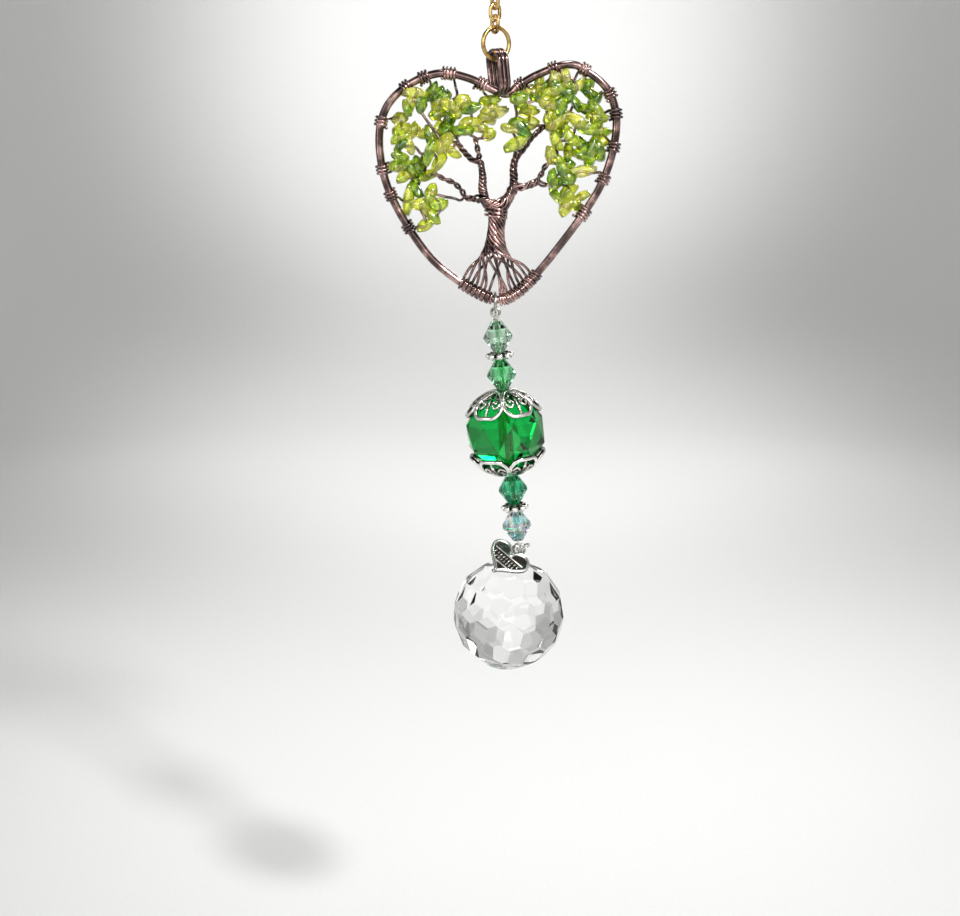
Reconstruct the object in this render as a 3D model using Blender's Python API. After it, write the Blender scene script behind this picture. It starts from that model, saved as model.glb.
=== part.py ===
"""Crystal suncatcher: a wire heart with a tree of green stones, hung on a chain, over beads and a crystal ball."""
import math
import random

import bmesh
import bpy
from mathutils import Matrix, Vector
from mathutils.bvhtree import BVHTree

MM = 0.001
CLEARANCE = 0.3 * MM
WELD = 0.001 * MM

# Hanging ring, chain and brass ring. The origin is where the hanging ring rests on its hook.
HANG_RING_DIAMETER = 11.0 * MM
HANG_RING_WIRE = 1.2 * MM
LINK_COUNT = 5
LINK_LENGTH = 5.0 * MM
LINK_WIDTH = 3.6 * MM
LINK_WIRE = 0.9 * MM
LINK_STEPS = 4
BRASS_RING_DIAMETER = 9.0 * MM
BRASS_RING_WIRE = 1.1 * MM
BRASS_RING_SHIFT = 0.3 * MM
BRASS_RING_STEPS = 8
RING_TURN = math.radians(33)

# Bail: turns of wire side by side, soldered over the dip of the heart.
BAIL_TURNS = 3
BAIL_WIRE = 1.4 * MM
BAIL_PITCH = 1.15 * MM
BAIL_BULGE = 0.12 * MM
BAIL_DEPTH = 7.0 * MM
BAIL_HEIGHT = 12.0 * MM
BAIL_LEAN = math.radians(-6)
BAIL_STEPS = 4
BAIL_SIDES = 6

# Heart frame. The outline is the dip, then the left side down to the tip, then the right side up again,
# in hundredths of the heart's width and height from the dip.
HEART_WIDTH = 61.2 * MM
HEART_HEIGHT = 59.8 * MM
FRAME_WIRE = 2.1 * MM
FRAME_STEPS = 44
FRAME_SIDES = 6
DIP_SHIFT = 2.4 * MM
HEART_OUTLINE = [
    (0, 0), (-15, 6.5), (-27, 8.5), (-39.5, 4), (-49.5, -6), (-52.5, -21.5), (-48, -42.5), (-33.5, -67),
    (-18.5, -80.5), (-3.5, -88), (7, -84), (22, -67), (40.5, -39.5), (47, -16), (44, 0.5), (33.5, 10),
    (25.5, 12), (14, 8), (6, 3.5),
]
TIP_INDEX = 9
OUTLINE_STEPS = 12

# Thin wire of the tree, and how it is wound round the frame at each end.
THIN_WIRE = 0.65 * MM
THIN_SIDES = 3
WRAP_TURNS = 1.6
WRAP_STEPS = 6
WRAP_PITCH = 0.95 * MM
WRAP_GAP = 0.2 * MM
WRAP_APPROACH = 0.9 * MM
ROOT_PITCH = 1.7 * MM
ROOT_COIL_LEFT = 44.9
ROOT_COIL_RIGHT = 56.8

# Trunk, as heights in hundredths of the heart's height, each with the thickness there.
TRUNK_X = -3
TRUNK = [(-46.5, 3.6 * MM), (-49, 4.9 * MM), (-57, 4.4 * MM), (-62, 5.2 * MM), (-66.5, 6.8 * MM)]
TRUNK_SIDES = 8
LIMB_SIDES = 6

# Roots. Their heads stand in the trunk's foot, at places given as shares of its thickness. They lean to the
# front and to the back in turn, by shares of their own thickness, and bow outward.
ROOT_WIRE = 0.8 * MM
ROOT_SIDES = 4
ROOT_THINNING = 0.9
ROOTS_EACH_SIDE = 5
ROOT_FIRST_ASIDE = 0.06
ROOT_SPREAD = 0.30
ROOT_RISE = 0.4
ROOT_FALL = 0.3
ROOT_BOW = 0.08
ROOT_DEPTHS = (-0.35, 0.3)
ROOT_FOOT_DEPTH = 0.2

# Limbs, in hundredths of the heart's width and height from the dip, from thick end to thin end.
LIMBS = {
    "left": ([(-3, -48), (-8, -45), (-15, -44)], 3.6 * MM, 2.0 * MM),
    "left low": ([(-15, -44), (-20, -44.5), (-26, -43), (-29, -43)], 1.5 * MM, 0.8 * MM),
    "left middle": ([(-15, -44), (-21, -37.5), (-25, -36), (-29, -33.5)], 1.7 * MM, 1.2 * MM),
    "left up": ([(-9, -45), (-9, -35), (-10, -29), (-11, -24), (-12, -19)], 1.9 * MM, 1.4 * MM),
    "left inner": ([(-10, -29), (-13, -28), (-17, -24), (-20, -20)], 1.6 * MM, 1.3 * MM),
    "right": ([(-3, -48), (2, -44), (4, -40)], 3.6 * MM, 2.4 * MM),
    "right up": ([(4, -40), (4, -32), (5, -26), (4, -24)], 2.2 * MM, 1.3 * MM),
    "right inner": ([(5, -27), (9, -22), (11, -19), (14, -16), (17, -13.5)], 1.7 * MM, 1.3 * MM),
    "right low": ([(4, -40), (9, -39), (14, -37)], 1.9 * MM, 1.6 * MM),
    "right low up": ([(14, -37), (17, -31), (19, -29)], 1.5 * MM, 1.2 * MM),
    "right low out": ([(14, -37), (16, -38.5), (21, -38)], 1.4 * MM, 1.2 * MM),
}

# Branch wires. Each leaves the end of a limb, runs through its string of stones from the first to the last
# zone point, and is wound round the frame at a place given in hundredths of the outline from the dip.
# The last value is the side of the tree that the stones hang on: -1 in front, 1 behind. A wire starts a little
# way back along its limb, as a share of the limb's last stretch.
BRANCH_SINK = 0.15
BRANCHES = [
    ("left up", [(-10, -15), (-7, -9), (-8.5, -5)], 3.3, 1),
    ("left up", [(-14, -14), (-19, -4)], 7.8, -1),
    ("left inner", [(-22, -16), (-28, -1)], 11.2, 1),
    ("left inner", [(-32, -11), (-38, -4.5)], 13.9, -1),
    ("left inner", [(-24, -22), (-35, -17), (-45, -12)], 19.6, 1),
    ("left middle", [(-31, -29), (-36, -25.5), (-46, -24)], 25.8, -1),
    ("left middle", [(-33, -35), (-39, -33.5), (-44, -38)], 29.4, 1),
    ("left low", [(-30, -43), (-33, -45), (-37, -50)], 34.3, -1),
    ("right up", [(5, -22), (6, -12)], 97.4, -1),
    ("right inner", [(14, -8), (11, -2), (16, 4)], 92.6, 1),
    ("right inner", [(18, -8), (22, -1), (28, 6)], 88.3, -1),
    ("right inner", [(22, -12), (29, -8), (39, -2)], 83.6, 1),
    ("right low up", [(23, -19), (31, -14), (40, -10)], 80.9, -1),
    ("right low up", [(23, -26), (31, -22), (42, -20)], 76.6, 1),
    ("right low out", [(24, -34), (29, -30), (36, -32)], 72.2, -1),
    ("right low out", [(23, -41), (26, -46), (32, -47)], 66.9, 1),
]

# Stone chips. Each is a little thicker than the distance to the next one, so that a string holds together.
CHIP_SPACING = 3.3 * MM
CHIP_OVERLAP = 1.3
CHIP_FEWEST = 3
CHIP_NEAR_EDGE = (1.3 * MM, 2.2 * MM)
CHIP_FAR_EDGE = (2.6 * MM, 4.4 * MM)
CHIP_DEPTH = 1.9 * MM
CHIP_CORNERS = 4
CHIP_LENGTHS = (0.8, 1.0)
CHIP_BREADTHS = (0.75, 1.0)
CHIP_HEIGHTS = (0.85, 1.0)
CHIP_SLANT = 0.1
CHIP_TURN = 0.3
CHIP_TILT = 0.2
CHIP_SHRINK = 0.9
CHIP_TRIES = 14
STONE_SEED = 10
BORE_SIDES = 4
BORE_WIDTH = (THIN_WIRE + 2 * CLEARANCE) / math.cos(math.pi / BORE_SIDES)
BORE_WALL = 1.2
ON_WIRE = 0.1 * MM

# Link round the tip of the heart, and the eye pin that carries the beads.
TIP_LINK_DIAMETER = 6.0 * MM
TIP_LINK_WIRE = 0.8 * MM
PIN_WIRE = 0.8 * MM
PIN_TOP_LOOP = 3.0 * MM
PIN_EYE = 3.9 * MM
PIN_NECK = 0.7 * MM
PIN_TILT = math.radians(5.8)
PIN_SIDES = 6
PIN_LOOP_STEPS = 8

# Beads on the pin.
BICONE_DIAMETER = 8.0 * MM
BICONE_HEIGHT = 8.5 * MM
BICONE_END = 3.0 * MM
BICONE_FACETS = 6
SPACER_CORE = 1.1 * MM
SPACER_BALL = 1.9 * MM
SPACER_BALLS = 8
SPACER_DIAMETER = 7.6 * MM
SPACER_NOTCH = 0.35
GREEN_BEAD_DIAMETER = 22.0 * MM
GREEN_BEAD_HEIGHT = 20.5 * MM
GREEN_BEAD_FACETS = 10
GREEN_BEAD_ROWS = (17, 43, 72, 108, 137, 163)
GREEN_BEAD_BORE = 2.4 * MM
GREEN_BEAD_SHIFT = 0.5 * MM
CAP_DIAMETER = 20.5 * MM
CAP_THICKNESS = 0.6 * MM
CAP_GAP = 0.45 * MM

# Petals of the caps. The rows of corners lie at shares of the cap's radius, each with how broad the petals are
# there. The columns are shares of a petal's half width. Its outer corners are drawn in a little.
CAP_PETALS = 6
CAP_ROWS = [(0.42, 1.0), (0.76, 0.84), (1.0, 0.5)]
CAP_COLUMNS = (-1, -0.34, 0.34, 1)
CAP_CORNER = 0.94

# Ball, its peg, and the charm that leans on it.
BALL_DIAMETER = 30.0 * MM
BALL_SHIFT = 2.7 * MM
BALL_FACETING = 0.985
BALL_ROWS = [(0, 1), (24, 6), (48, 12), (72, 14), (96, 14), (120, 14), (146, 9), (180, 1)]
PEG_WIRE = 0.8 * MM
PEG_LOOP = 3.4 * MM
PEG_DEPTH = 4.0 * MM
CHARM_WIDTH = 12.0 * MM
CHARM_HEIGHT = 10.6 * MM
CHARM_THICKNESS = 1.0 * MM
CHARM_STEPS = 16
CHARM_RELIEF = 0.3 * MM
CHARM_HOLLOW = 0.84
CHARM_RIDGE_ASIDE = 1.7 * MM
CHARM_RIDGE_REACH = 0.4
CHARM_RIDGE_WIRE = 0.6 * MM
CHARM_LUG = 3.2 * MM
CHARM_LUG_WIRE = 0.6 * MM
CHARM_DIP = 0.37
CHARM_CURVE = (13, -5, -2, -1)
CHARM_CURVE_SPAN = 29
CHARM_CURVE_LIFT = 0.09
CHARM_FACING = Vector((0.25, -0.62, 0.74)).normalized()
CHARM_UP = Vector((0.606, 0.698, 0.381))
CHARM_ASIDE = 8.2 * MM
CHARM_ABOVE = 1.7 * MM
CHARM_RING_DIAMETER = 4.4 * MM
CHARM_RING_WIRE = 0.5 * MM
CHARM_RING_AT = Vector((1.1, -0.97, 0.96)) * MM
CHARM_RING_FACING = Vector((-0.34, 0.03, 0.94)).normalized()
SMALL_RING_STEPS = 10
SMALL_RING_SIDES = 4


def clear_scene():
    for item in list(bpy.data.objects):
        bpy.data.objects.remove(item)


def make_material(name, colour, roughness, metallic=0.0, clear=0.0):
    finish = bpy.data.materials.new(name)
    finish.use_nodes = True
    shader = finish.node_tree.nodes["Principled BSDF"]
    shader.inputs["Base Color"].default_value = (*colour, 1)
    shader.inputs["Roughness"].default_value = roughness
    shader.inputs["Metallic"].default_value = metallic
    shader.inputs["Transmission Weight"].default_value = clear
    return finish


def add_piece(name, mesh, finish):
    piece = bpy.data.objects.new(name, mesh)
    mesh.name = name
    mesh.materials.clear()
    mesh.materials.append(finish)
    bpy.context.scene.collection.objects.link(piece)
    return piece


def evaluated_mesh(helper):
    graph = bpy.context.evaluated_depsgraph_get()
    return bpy.data.meshes.new_from_object(helper.evaluated_get(graph), depsgraph=graph)


def mesh_from(form):
    mesh = bpy.data.meshes.new("form")
    form.to_mesh(mesh)
    form.free()
    return mesh


def combined(base, added=(), removed=()):
    """The base mesh joined with the added meshes, then cut by the removed ones."""
    helper = bpy.data.objects.new("helper", base)
    bpy.context.scene.collection.objects.link(helper)
    made = [helper]
    for operation, meshes in (("UNION", added), ("DIFFERENCE", removed)):
        for mesh in meshes:
            tool = bpy.data.objects.new("tool", mesh)
            bpy.context.scene.collection.objects.link(tool)
            made.append(tool)
            step = helper.modifiers.new(operation.lower(), "BOOLEAN")
            step.operation = operation
            step.solver = "EXACT"
            step.object = tool
    mesh = evaluated_mesh(helper)
    for item in made:
        bpy.data.objects.remove(item)
    return mesh


def tube(points, thickness, sides, closed=False, sizes=None):
    """A wire along the points. The sizes, where given, are its thickness at each point."""
    curve = bpy.data.curves.new("wire", "CURVE")
    curve.dimensions = "3D"
    if sides == 3:
        curve.bevel_mode = "OBJECT"
        curve.bevel_object = triangle_profile(thickness / 2)
    else:
        curve.bevel_depth = thickness / 2
        curve.bevel_resolution = (sides - 4) // 2
    curve.use_fill_caps = True
    line = curve.splines.new("POLY")
    line.points.add(len(points) - 1)
    for index, point in enumerate(points):
        line.points[index].co = (*point, 1)
        if sizes:
            line.points[index].radius = sizes[index] / thickness
    line.use_cyclic_u = closed
    helper = bpy.data.objects.new("wire", curve)
    bpy.context.scene.collection.objects.link(helper)
    mesh = evaluated_mesh(helper)
    if curve.bevel_object:
        bpy.data.objects.remove(curve.bevel_object)
    bpy.data.objects.remove(helper)
    return welded(mesh)


def triangle_profile(radius):
    curve = bpy.data.curves.new("profile", "CURVE")
    line = curve.splines.new("POLY")
    line.points.add(2)
    for point, corner in zip(line.points, reversed(circle(radius, 3))):
        point.co = (*corner, 1)
    line.use_cyclic_u = True
    profile = bpy.data.objects.new("profile", curve)
    bpy.context.scene.collection.objects.link(profile)
    return profile


def welded(mesh):
    """The mesh with the rims of a wire's end caps joined to its side."""
    form = bmesh.new()
    form.from_mesh(mesh)
    bmesh.ops.remove_doubles(form, verts=form.verts, dist=WELD)
    form.to_mesh(mesh)
    form.free()
    return mesh


def hull(points):
    """The closed solid that fits tightly round the points."""
    form = bmesh.new()
    for point in points:
        form.verts.new(point)
    made = bmesh.ops.convex_hull(form, input=form.verts)
    inside = made["geom_interior"] + made["geom_unused"]
    spare = {item for item in inside if isinstance(item, bmesh.types.BMVert)}
    bmesh.ops.delete(form, geom=list(spare), context="VERTS")
    bmesh.ops.recalc_face_normals(form, faces=form.faces)
    return mesh_from(form)


def placed(mesh, matrix):
    mesh.transform(matrix)
    return mesh


def circle(radius, steps, height=0.0, start=0.0):
    turns = [start + 2 * math.pi * step / steps for step in range(steps)]
    return [Vector((radius * math.cos(turn), radius * math.sin(turn), height)) for turn in turns]


def loop_points(width, height, steps):
    """A round-ended loop in the XZ plane, its middle at the origin."""
    radius = width / 2
    rise = height / 2 - radius
    points = []
    for end in (1, -1):
        for step in range(steps + (rise > 0)):
            turn = math.pi * step / steps
            points.append(Vector((end * radius * math.cos(turn), 0, end * (rise + radius * math.sin(turn)))))
    return points


def add_ring(name, centre, width, height, wire, turn, finish, steps=6, sides=6):
    """A closed wire loop that hangs upright, its plane turned about the vertical from facing the viewer."""
    mesh = tube(loop_points(width - wire, height - wire, steps), wire, sides, closed=True)
    place = Matrix.Translation(centre) @ Matrix.Rotation(turn, 4, "Z")
    return add_piece(name, placed(mesh, place), finish)


def ring_facing(name, centre, facing, diameter, wire, finish):
    mesh = tube(circle((diameter - wire) / 2, SMALL_RING_STEPS), wire, SMALL_RING_SIDES, closed=True)
    turn = facing.to_track_quat("Z", "Y").to_matrix().to_4x4()
    return add_piece(name, placed(mesh, Matrix.Translation(centre) @ turn), finish)


def make_chain(brass):
    """Makes the hanging ring, the links and the brass ring. It returns the height of the brass ring's middle."""
    ring_middle = HANG_RING_WIRE - HANG_RING_DIAMETER / 2
    add_ring(
        "hanging_ring", Vector((0, 0, ring_middle)), HANG_RING_DIAMETER, HANG_RING_DIAMETER, HANG_RING_WIRE,
        RING_TURN, brass,
    )
    bearing = ring_middle - HANG_RING_DIAMETER / 2 + HANG_RING_WIRE
    for number in range(LINK_COUNT, 0, -1):
        middle = bearing + CLEARANCE + LINK_WIRE - LINK_LENGTH / 2
        turn = RING_TURN + math.pi / 2 * (number % 2)
        add_ring(
            f"chain_link_{number}", Vector((0, 0, middle)), LINK_WIDTH, LINK_LENGTH, LINK_WIRE, turn, brass,
            LINK_STEPS,
        )
        bearing = middle - LINK_LENGTH / 2 + LINK_WIRE
    middle = bearing + CLEARANCE + BRASS_RING_WIRE - BRASS_RING_DIAMETER / 2
    centre = Vector((BRASS_RING_SHIFT, 0, middle))
    add_ring(
        "brass_ring", centre, BRASS_RING_DIAMETER, BRASS_RING_DIAMETER, BRASS_RING_WIRE, RING_TURN, brass,
        BRASS_RING_STEPS,
    )
    return middle


def smooth_loop(points, steps_between):
    """Points on a smooth closed curve through the given ones."""
    curve = []
    count = len(points)
    for index in range(count):
        before, start, end, after = (points[(index + shift) % count] for shift in (-1, 0, 1, 2))
        for step in range(steps_between):
            share = step / steps_between
            curve.append(spline_point(before, start, end, after, share))
    return curve


def spline_point(before, start, end, after, share):
    cubic = start * 3 - before - end * 3 + after
    square = before * 2 - start * 5 + end * 4 - after
    return (start * 2 + (end - before) * share + square * share ** 2 + cubic * share ** 3) / 2


def lengths_along(points):
    total = [0.0]
    for first, second in zip(points, points[1:]):
        total.append(total[-1] + (second - first).length)
    return total


def point_at(points, total, distance):
    """The place and the direction at a distance along the points."""
    for index in range(len(points) - 1):
        if total[index + 1] >= distance:
            break
    share = (distance - total[index]) / (total[index + 1] - total[index])
    direction = (points[index + 1] - points[index]).normalized()
    return points[index].lerp(points[index + 1], share), direction


class Heart:
    """The line of the frame wire, and places measured from it."""

    def __init__(self, dip):
        self.dip = dip
        fine = smooth_loop([self.place(x, z) for x, z in HEART_OUTLINE], OUTLINE_STEPS)
        self.tip = fine[OUTLINE_STEPS * TIP_INDEX]
        total = lengths_along(fine + [fine[0]])
        self.length = total[-1]
        self.tip_distance = total[fine.index(self.tip)]
        self.corners = []
        for step in range(FRAME_STEPS):
            distance = (self.tip_distance + self.length * step / FRAME_STEPS) % self.length
            self.corners.append(point_at(fine + [fine[0]], total, distance)[0])
        self.line = self.corners + [self.corners[0]]
        self.total = lengths_along(self.line)

    def place(self, x, z, y=0.0):
        """A place given in hundredths of the heart's width and height from the dip."""
        return self.dip + Vector((HEART_WIDTH * x / 100, y, HEART_HEIGHT * z / 100))

    def at(self, distance):
        """The place and direction at a distance along the frame wire from the dip, down the left side."""
        share = ((distance - self.tip_distance) % self.length) / self.length
        return point_at(self.line, self.total, self.total[-1] * share)

    def inward(self, distance):
        """The direction from the wire into the heart, square to the wire."""
        direction = self.at(distance)[1]
        return Vector((-direction.z, 0, direction.x))

    def coil(self, start, turns, pitch, wire):
        """Points of a wire wound round the frame, from its inner side."""
        radius = coil_radius(wire)
        points = []
        for step in range(round(turns * WRAP_STEPS) + 1):
            turn = step / WRAP_STEPS
            distance = start + pitch * turn
            middle, _ = self.at(distance)
            angle = 2 * math.pi * turn
            out = self.inward(distance) * math.cos(angle) + Vector((0, -math.sin(angle), 0))
            points.append(middle + out * radius)
        return points


def coil_radius(wire):
    """How far the middle of a wound wire lies from the middle of the frame wire, so that its flats clear it."""
    return (FRAME_WIRE / 2 + WRAP_GAP + wire / 2) / math.cos(math.pi / WRAP_STEPS)


def make_frame(heart, copper):
    mesh = tube(heart.corners, FRAME_WIRE, FRAME_SIDES, closed=True)
    return add_piece("heart_frame", mesh, copper)


def make_bail(heart, top, copper):
    """Loops of wire side by side, open below where they straddle the frame's dip."""
    loops = []
    for number in range(BAIL_TURNS):
        bulge = BAIL_BULGE * (number % 2)
        outline = loop_points(BAIL_DEPTH - BAIL_WIRE + bulge, BAIL_HEIGHT - BAIL_WIRE, BAIL_STEPS)
        mesh = tube(outline, BAIL_WIRE + bulge, BAIL_SIDES, closed=True)
        aside = (number - (BAIL_TURNS - 1) / 2) * BAIL_PITCH
        loops.append(placed(mesh, Matrix.Translation((0, aside, -BAIL_HEIGHT / 2))))
    cutter = tube(heart.corners, FRAME_WIRE + 2 * CLEARANCE, FRAME_SIDES, closed=True)
    turn = Matrix.Rotation(RING_TURN - math.pi / 2, 4, "Z")
    lean = Matrix.Rotation(BAIL_LEAN, 4, "Y")
    place = Matrix.Translation(top) @ lean @ turn
    loops = [placed(mesh, place) for mesh in loops]
    return add_piece("bail", combined(loops[0], loops[1:], [cutter]), copper)


def trunk_point(heart, level):
    return heart.place(TRUNK_X, level)


def make_roots(heart):
    """The root coils on both sides of the tip, and the root wires that run down to them."""
    clear_of_link = TIP_LINK_WIRE / 2 + 2 * CLEARANCE + ROOT_WIRE / 2
    spread_level, spread = TRUNK[-1]
    meshes = []
    for side, far_share in ((-1, ROOT_COIL_LEFT), (1, ROOT_COIL_RIGHT)):
        start = heart.tip_distance + side * clear_of_link
        far = heart.length * far_share / 100
        turns = int(abs(far - start) / ROOT_PITCH)
        coil = heart.coil(start, turns, side * ROOT_PITCH, ROOT_WIRE)
        meshes.append(tube(coil, ROOT_WIRE, THIN_SIDES))
        for root in range(ROOTS_EACH_SIDE):
            share = root / (ROOTS_EACH_SIDE - 1)
            foot = coil[WRAP_STEPS * round(share * turns)]
            aside = side * spread * (ROOT_FIRST_ASIDE + ROOT_SPREAD * share)
            depth = ROOT_WIRE * ROOT_DEPTHS[root % 2]
            rise = spread * ROOT_RISE * (1 - share * ROOT_FALL)
            head = trunk_point(heart, spread_level) + Vector((aside, depth, rise))
            middle = head.lerp(foot, 0.5) + Vector((-side * spread * ROOT_BOW * share, depth, 0))
            end = foot + Vector((0, depth * ROOT_FOOT_DEPTH, 0))
            meshes.append(tube([head, middle, end], ROOT_WIRE * ROOT_THINNING, ROOT_SIDES))
    return meshes


def make_limbs(heart):
    meshes = []
    for points, thick, thin in LIMBS.values():
        line = [heart.place(x, z) for x, z in points]
        last = len(line) - 1
        sizes = [thick + (thin - thick) * index / last for index in range(len(line))]
        meshes.append(tube(line, thick, LIMB_SIDES, sizes=sizes))
    return meshes


def zone_line(heart, zone, side):
    """The wire's line through its stones, in front of or behind the middle of the tree."""
    depth = side * (CHIP_DEPTH + CLEARANCE)
    return [heart.place(x, z, depth) for x, z in zone]


def branch_line(heart, limb, zone, share, side):
    """A branch wire from its limb, through its stones, to its turns round the frame."""
    x, z = LIMBS[limb][0][-1]
    before_x, before_z = LIMBS[limb][0][-2]
    start = heart.place(x + (before_x - x) * BRANCH_SINK, z + (before_z - z) * BRANCH_SINK)
    distance = heart.length * share / 100
    onward = 1 if share < 50 else -1
    first = distance - onward * WRAP_PITCH * WRAP_TURNS / 2
    coil = heart.coil(first, WRAP_TURNS, onward * WRAP_PITCH, THIN_WIRE)
    approach = coil[0] + heart.inward(first) * WRAP_APPROACH
    return [start] + zone_line(heart, zone, side) + [approach] + coil


def make_tree(heart, copper):
    """Trunk, limbs, roots and branch wires, which touch where they are twisted together."""
    line = [trunk_point(heart, level) for level, _ in TRUNK]
    sizes = [size for _, size in TRUNK]
    trunk = tube(line, sizes[0], TRUNK_SIDES, sizes=sizes)
    wires = [tube(branch_line(heart, *branch), THIN_WIRE, THIN_SIDES) for branch in BRANCHES]
    return add_piece("wire_tree", combined(trunk, make_limbs(heart) + make_roots(heart) + wires), copper)


def chip_points(draw, size, thickness):
    """Corners of one stone: two uneven faces across the wire, with the hole nearer one end."""
    near = draw.uniform(*CHIP_NEAR_EDGE)
    far = draw.uniform(*CHIP_FAR_EDGE)
    points = []
    for face in (-1, 1):
        slant = draw.uniform(-CHIP_SLANT, CHIP_SLANT)
        turn = draw.uniform(-CHIP_TURN, CHIP_TURN)
        for corner in range(CHIP_CORNERS):
            angle = turn + 2 * math.pi * corner / CHIP_CORNERS
            reach = far if math.cos(angle) > 0 else near
            along = reach * math.cos(angle) * draw.uniform(*CHIP_LENGTHS) * size
            across = CHIP_DEPTH * math.sin(angle) * draw.uniform(*CHIP_BREADTHS) * size
            height = face * thickness / 2 * draw.uniform(*CHIP_HEIGHTS) + slant * along
            points.append(Vector((along, across, height)))
    floor = BORE_WIDTH / 2 * BORE_WALL
    return [grown_to(point, floor) for point in points]


def grown_to(point, floor):
    """The point, moved out from the wire if it is nearer than the floor. A point on the wire stays."""
    reach = math.hypot(point.x, point.y)
    if reach < ON_WIRE or reach >= floor:
        return point
    return Vector((point.x * floor / reach, point.y * floor / reach, point.z))


def chip_tree(points, extra):
    """A search tree of the stone grown by extra, for finding what it touches."""
    middle = sum(points, Vector()) / len(points)
    grown = [point + (point - middle).normalized() * extra for point in points]
    mesh = hull(grown)
    form = bmesh.new()
    form.from_mesh(mesh)
    found = BVHTree.FromBMesh(form)
    form.free()
    bpy.data.meshes.remove(mesh)
    return found


def mesh_tree(mesh):
    form = bmesh.new()
    form.from_mesh(mesh)
    found = BVHTree.FromBMesh(form)
    form.free()
    return found


def chip_place(middle, direction, flip, tilt):
    """The matrix that strings a stone on the wire, its long way square to the wire and to the line of sight."""
    across = Vector((0, 1, 0))
    along = across.cross(direction).normalized() * flip
    up = direction.normalized()
    side = up.cross(along).normalized()
    turn = Matrix((along, side, up)).transposed().to_4x4()
    return Matrix.Translation(middle) @ turn @ Matrix.Rotation(tilt, 4, "Y")


def string_of_chips(draw, line, neighbours):
    """Stones along one wire. Each turns over, or gets smaller, until it is clear of its neighbours."""
    total = lengths_along(line)
    count = max(CHIP_FEWEST, round(total[-1] / CHIP_SPACING) + 1)
    spacing = total[-1] / (count - 1)
    chips = []
    for number in range(count):
        middle, direction = point_at(line, total, spacing * number)
        size = 1.0
        flip = draw.choice((-1, 1))
        for attempt in range(CHIP_TRIES):
            place = chip_place(middle, direction, flip, draw.uniform(-CHIP_TILT, CHIP_TILT))
            points = [place @ point for point in chip_points(draw, size, spacing * CHIP_OVERLAP)]
            test = chip_tree(points, CLEARANCE)
            if not any(test.overlap(other) for other in neighbours):
                break
            flip = -flip
            size *= CHIP_SHRINK if attempt % 2 else 1.0
        chips.append(points)
    return chips


def make_stones(heart, frame, stone):
    draw = random.Random(STONE_SEED)
    taken = [mesh_tree(frame.data)] + [mesh_tree(mesh) for mesh in make_limbs(heart)]
    wires = [mesh_tree(tube(branch_line(heart, *branch), THIN_WIRE, THIN_SIDES)) for branch in BRANCHES]
    for number, (limb, zone, share, side) in enumerate(BRANCHES, 1):
        line = zone_line(heart, zone, side)
        whole = branch_line(heart, limb, zone, share, side)
        own_coil = mesh_tree(tube(whole[len(line) + 2:], THIN_WIRE, BORE_SIDES))
        others = wires[:number - 1] + wires[number:] + [own_coil]
        chips = string_of_chips(draw, line, taken + others)
        taken += [chip_tree(points, 0.0) for points in chips]
        bore = tube(whole[:len(line) + 2], BORE_WIDTH, BORE_SIDES)
        meshes = [hull(points) for points in chips]
        add_piece(f"stone_string_{number:02d}", combined(meshes[0], meshes[1:], [bore]), stone)


def along_pin(top, distance):
    return top + Vector((math.sin(PIN_TILT), 0, -math.cos(PIN_TILT))) * distance


def pin_place(top, distance):
    """The matrix of a piece threaded on the pin, its own +Z along the pin and upward."""
    return Matrix.Translation(along_pin(top, distance)) @ Matrix.Rotation(-PIN_TILT, 4, "Y")


def bore_mesh(diameter, length):
    return tube([Vector((0, 0, -length)), Vector((0, 0, length))], diameter, PIN_SIDES)


def bicone_mesh():
    """Two facetted cones base to base, drilled through."""
    half = BICONE_HEIGHT / 2
    waist = circle(BICONE_DIAMETER / 2, BICONE_FACETS * 2, start=math.pi / BICONE_FACETS / 2)
    ends = circle(BICONE_END / 2, BICONE_FACETS, half) + circle(BICONE_END / 2, BICONE_FACETS, -half)
    return combined(hull(waist + ends), removed=[bore_mesh(PIN_WIRE + 2 * CLEARANCE, BICONE_HEIGHT)])


def spacer_mesh():
    """A flat ring with a row of small balls round its rim, turned as stations round the hole."""
    hole = PIN_WIRE / 2 + CLEARANCE
    rim = SPACER_DIAMETER / 2
    form = bmesh.new()
    stations = []
    for station in range(SPACER_BALLS * 2):
        turn = math.pi * station / SPACER_BALLS
        on_ball = station % 2 == 0
        half = (SPACER_BALL if on_ball else SPACER_CORE) / 2
        reach = rim if on_ball else rim - SPACER_BALL * SPACER_NOTCH
        middle = rim - SPACER_BALL / 2
        profile = [(hole, -SPACER_CORE / 2), (middle, -half), (reach, 0), (middle, half), (hole, SPACER_CORE / 2)]
        stations.append([
            form.verts.new((out * math.cos(turn), out * math.sin(turn), height)) for out, height in profile
        ])
    for number, corners in enumerate(stations):
        following = stations[(number + 1) % len(stations)]
        for row in range(len(corners)):
            near, far = corners[row - 1], corners[row]
            form.faces.new([near, far, following[row], following[row - 1]])
    bmesh.ops.recalc_face_normals(form, faces=form.faces)
    return mesh_from(form)


def bead_corners():
    """The reach and the height of each row of corners on the green bead."""
    radius = GREEN_BEAD_DIAMETER / 2
    half = GREEN_BEAD_HEIGHT / 2
    steepest = math.cos(math.radians(GREEN_BEAD_ROWS[0]))
    turns = [math.radians(angle) for angle in GREEN_BEAD_ROWS]
    return [(radius * math.sin(turn), half * math.cos(turn) / steepest) for turn in turns]


def green_bead_mesh():
    """Rows of facets round a slightly flattened ball, drilled through."""
    points = []
    for row, (reach, height) in enumerate(bead_corners()):
        points += circle(reach, GREEN_BEAD_FACETS, height, math.pi / GREEN_BEAD_FACETS * (row % 2))
    return combined(hull(points), removed=[bore_mesh(GREEN_BEAD_BORE, GREEN_BEAD_HEIGHT)])


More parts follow.
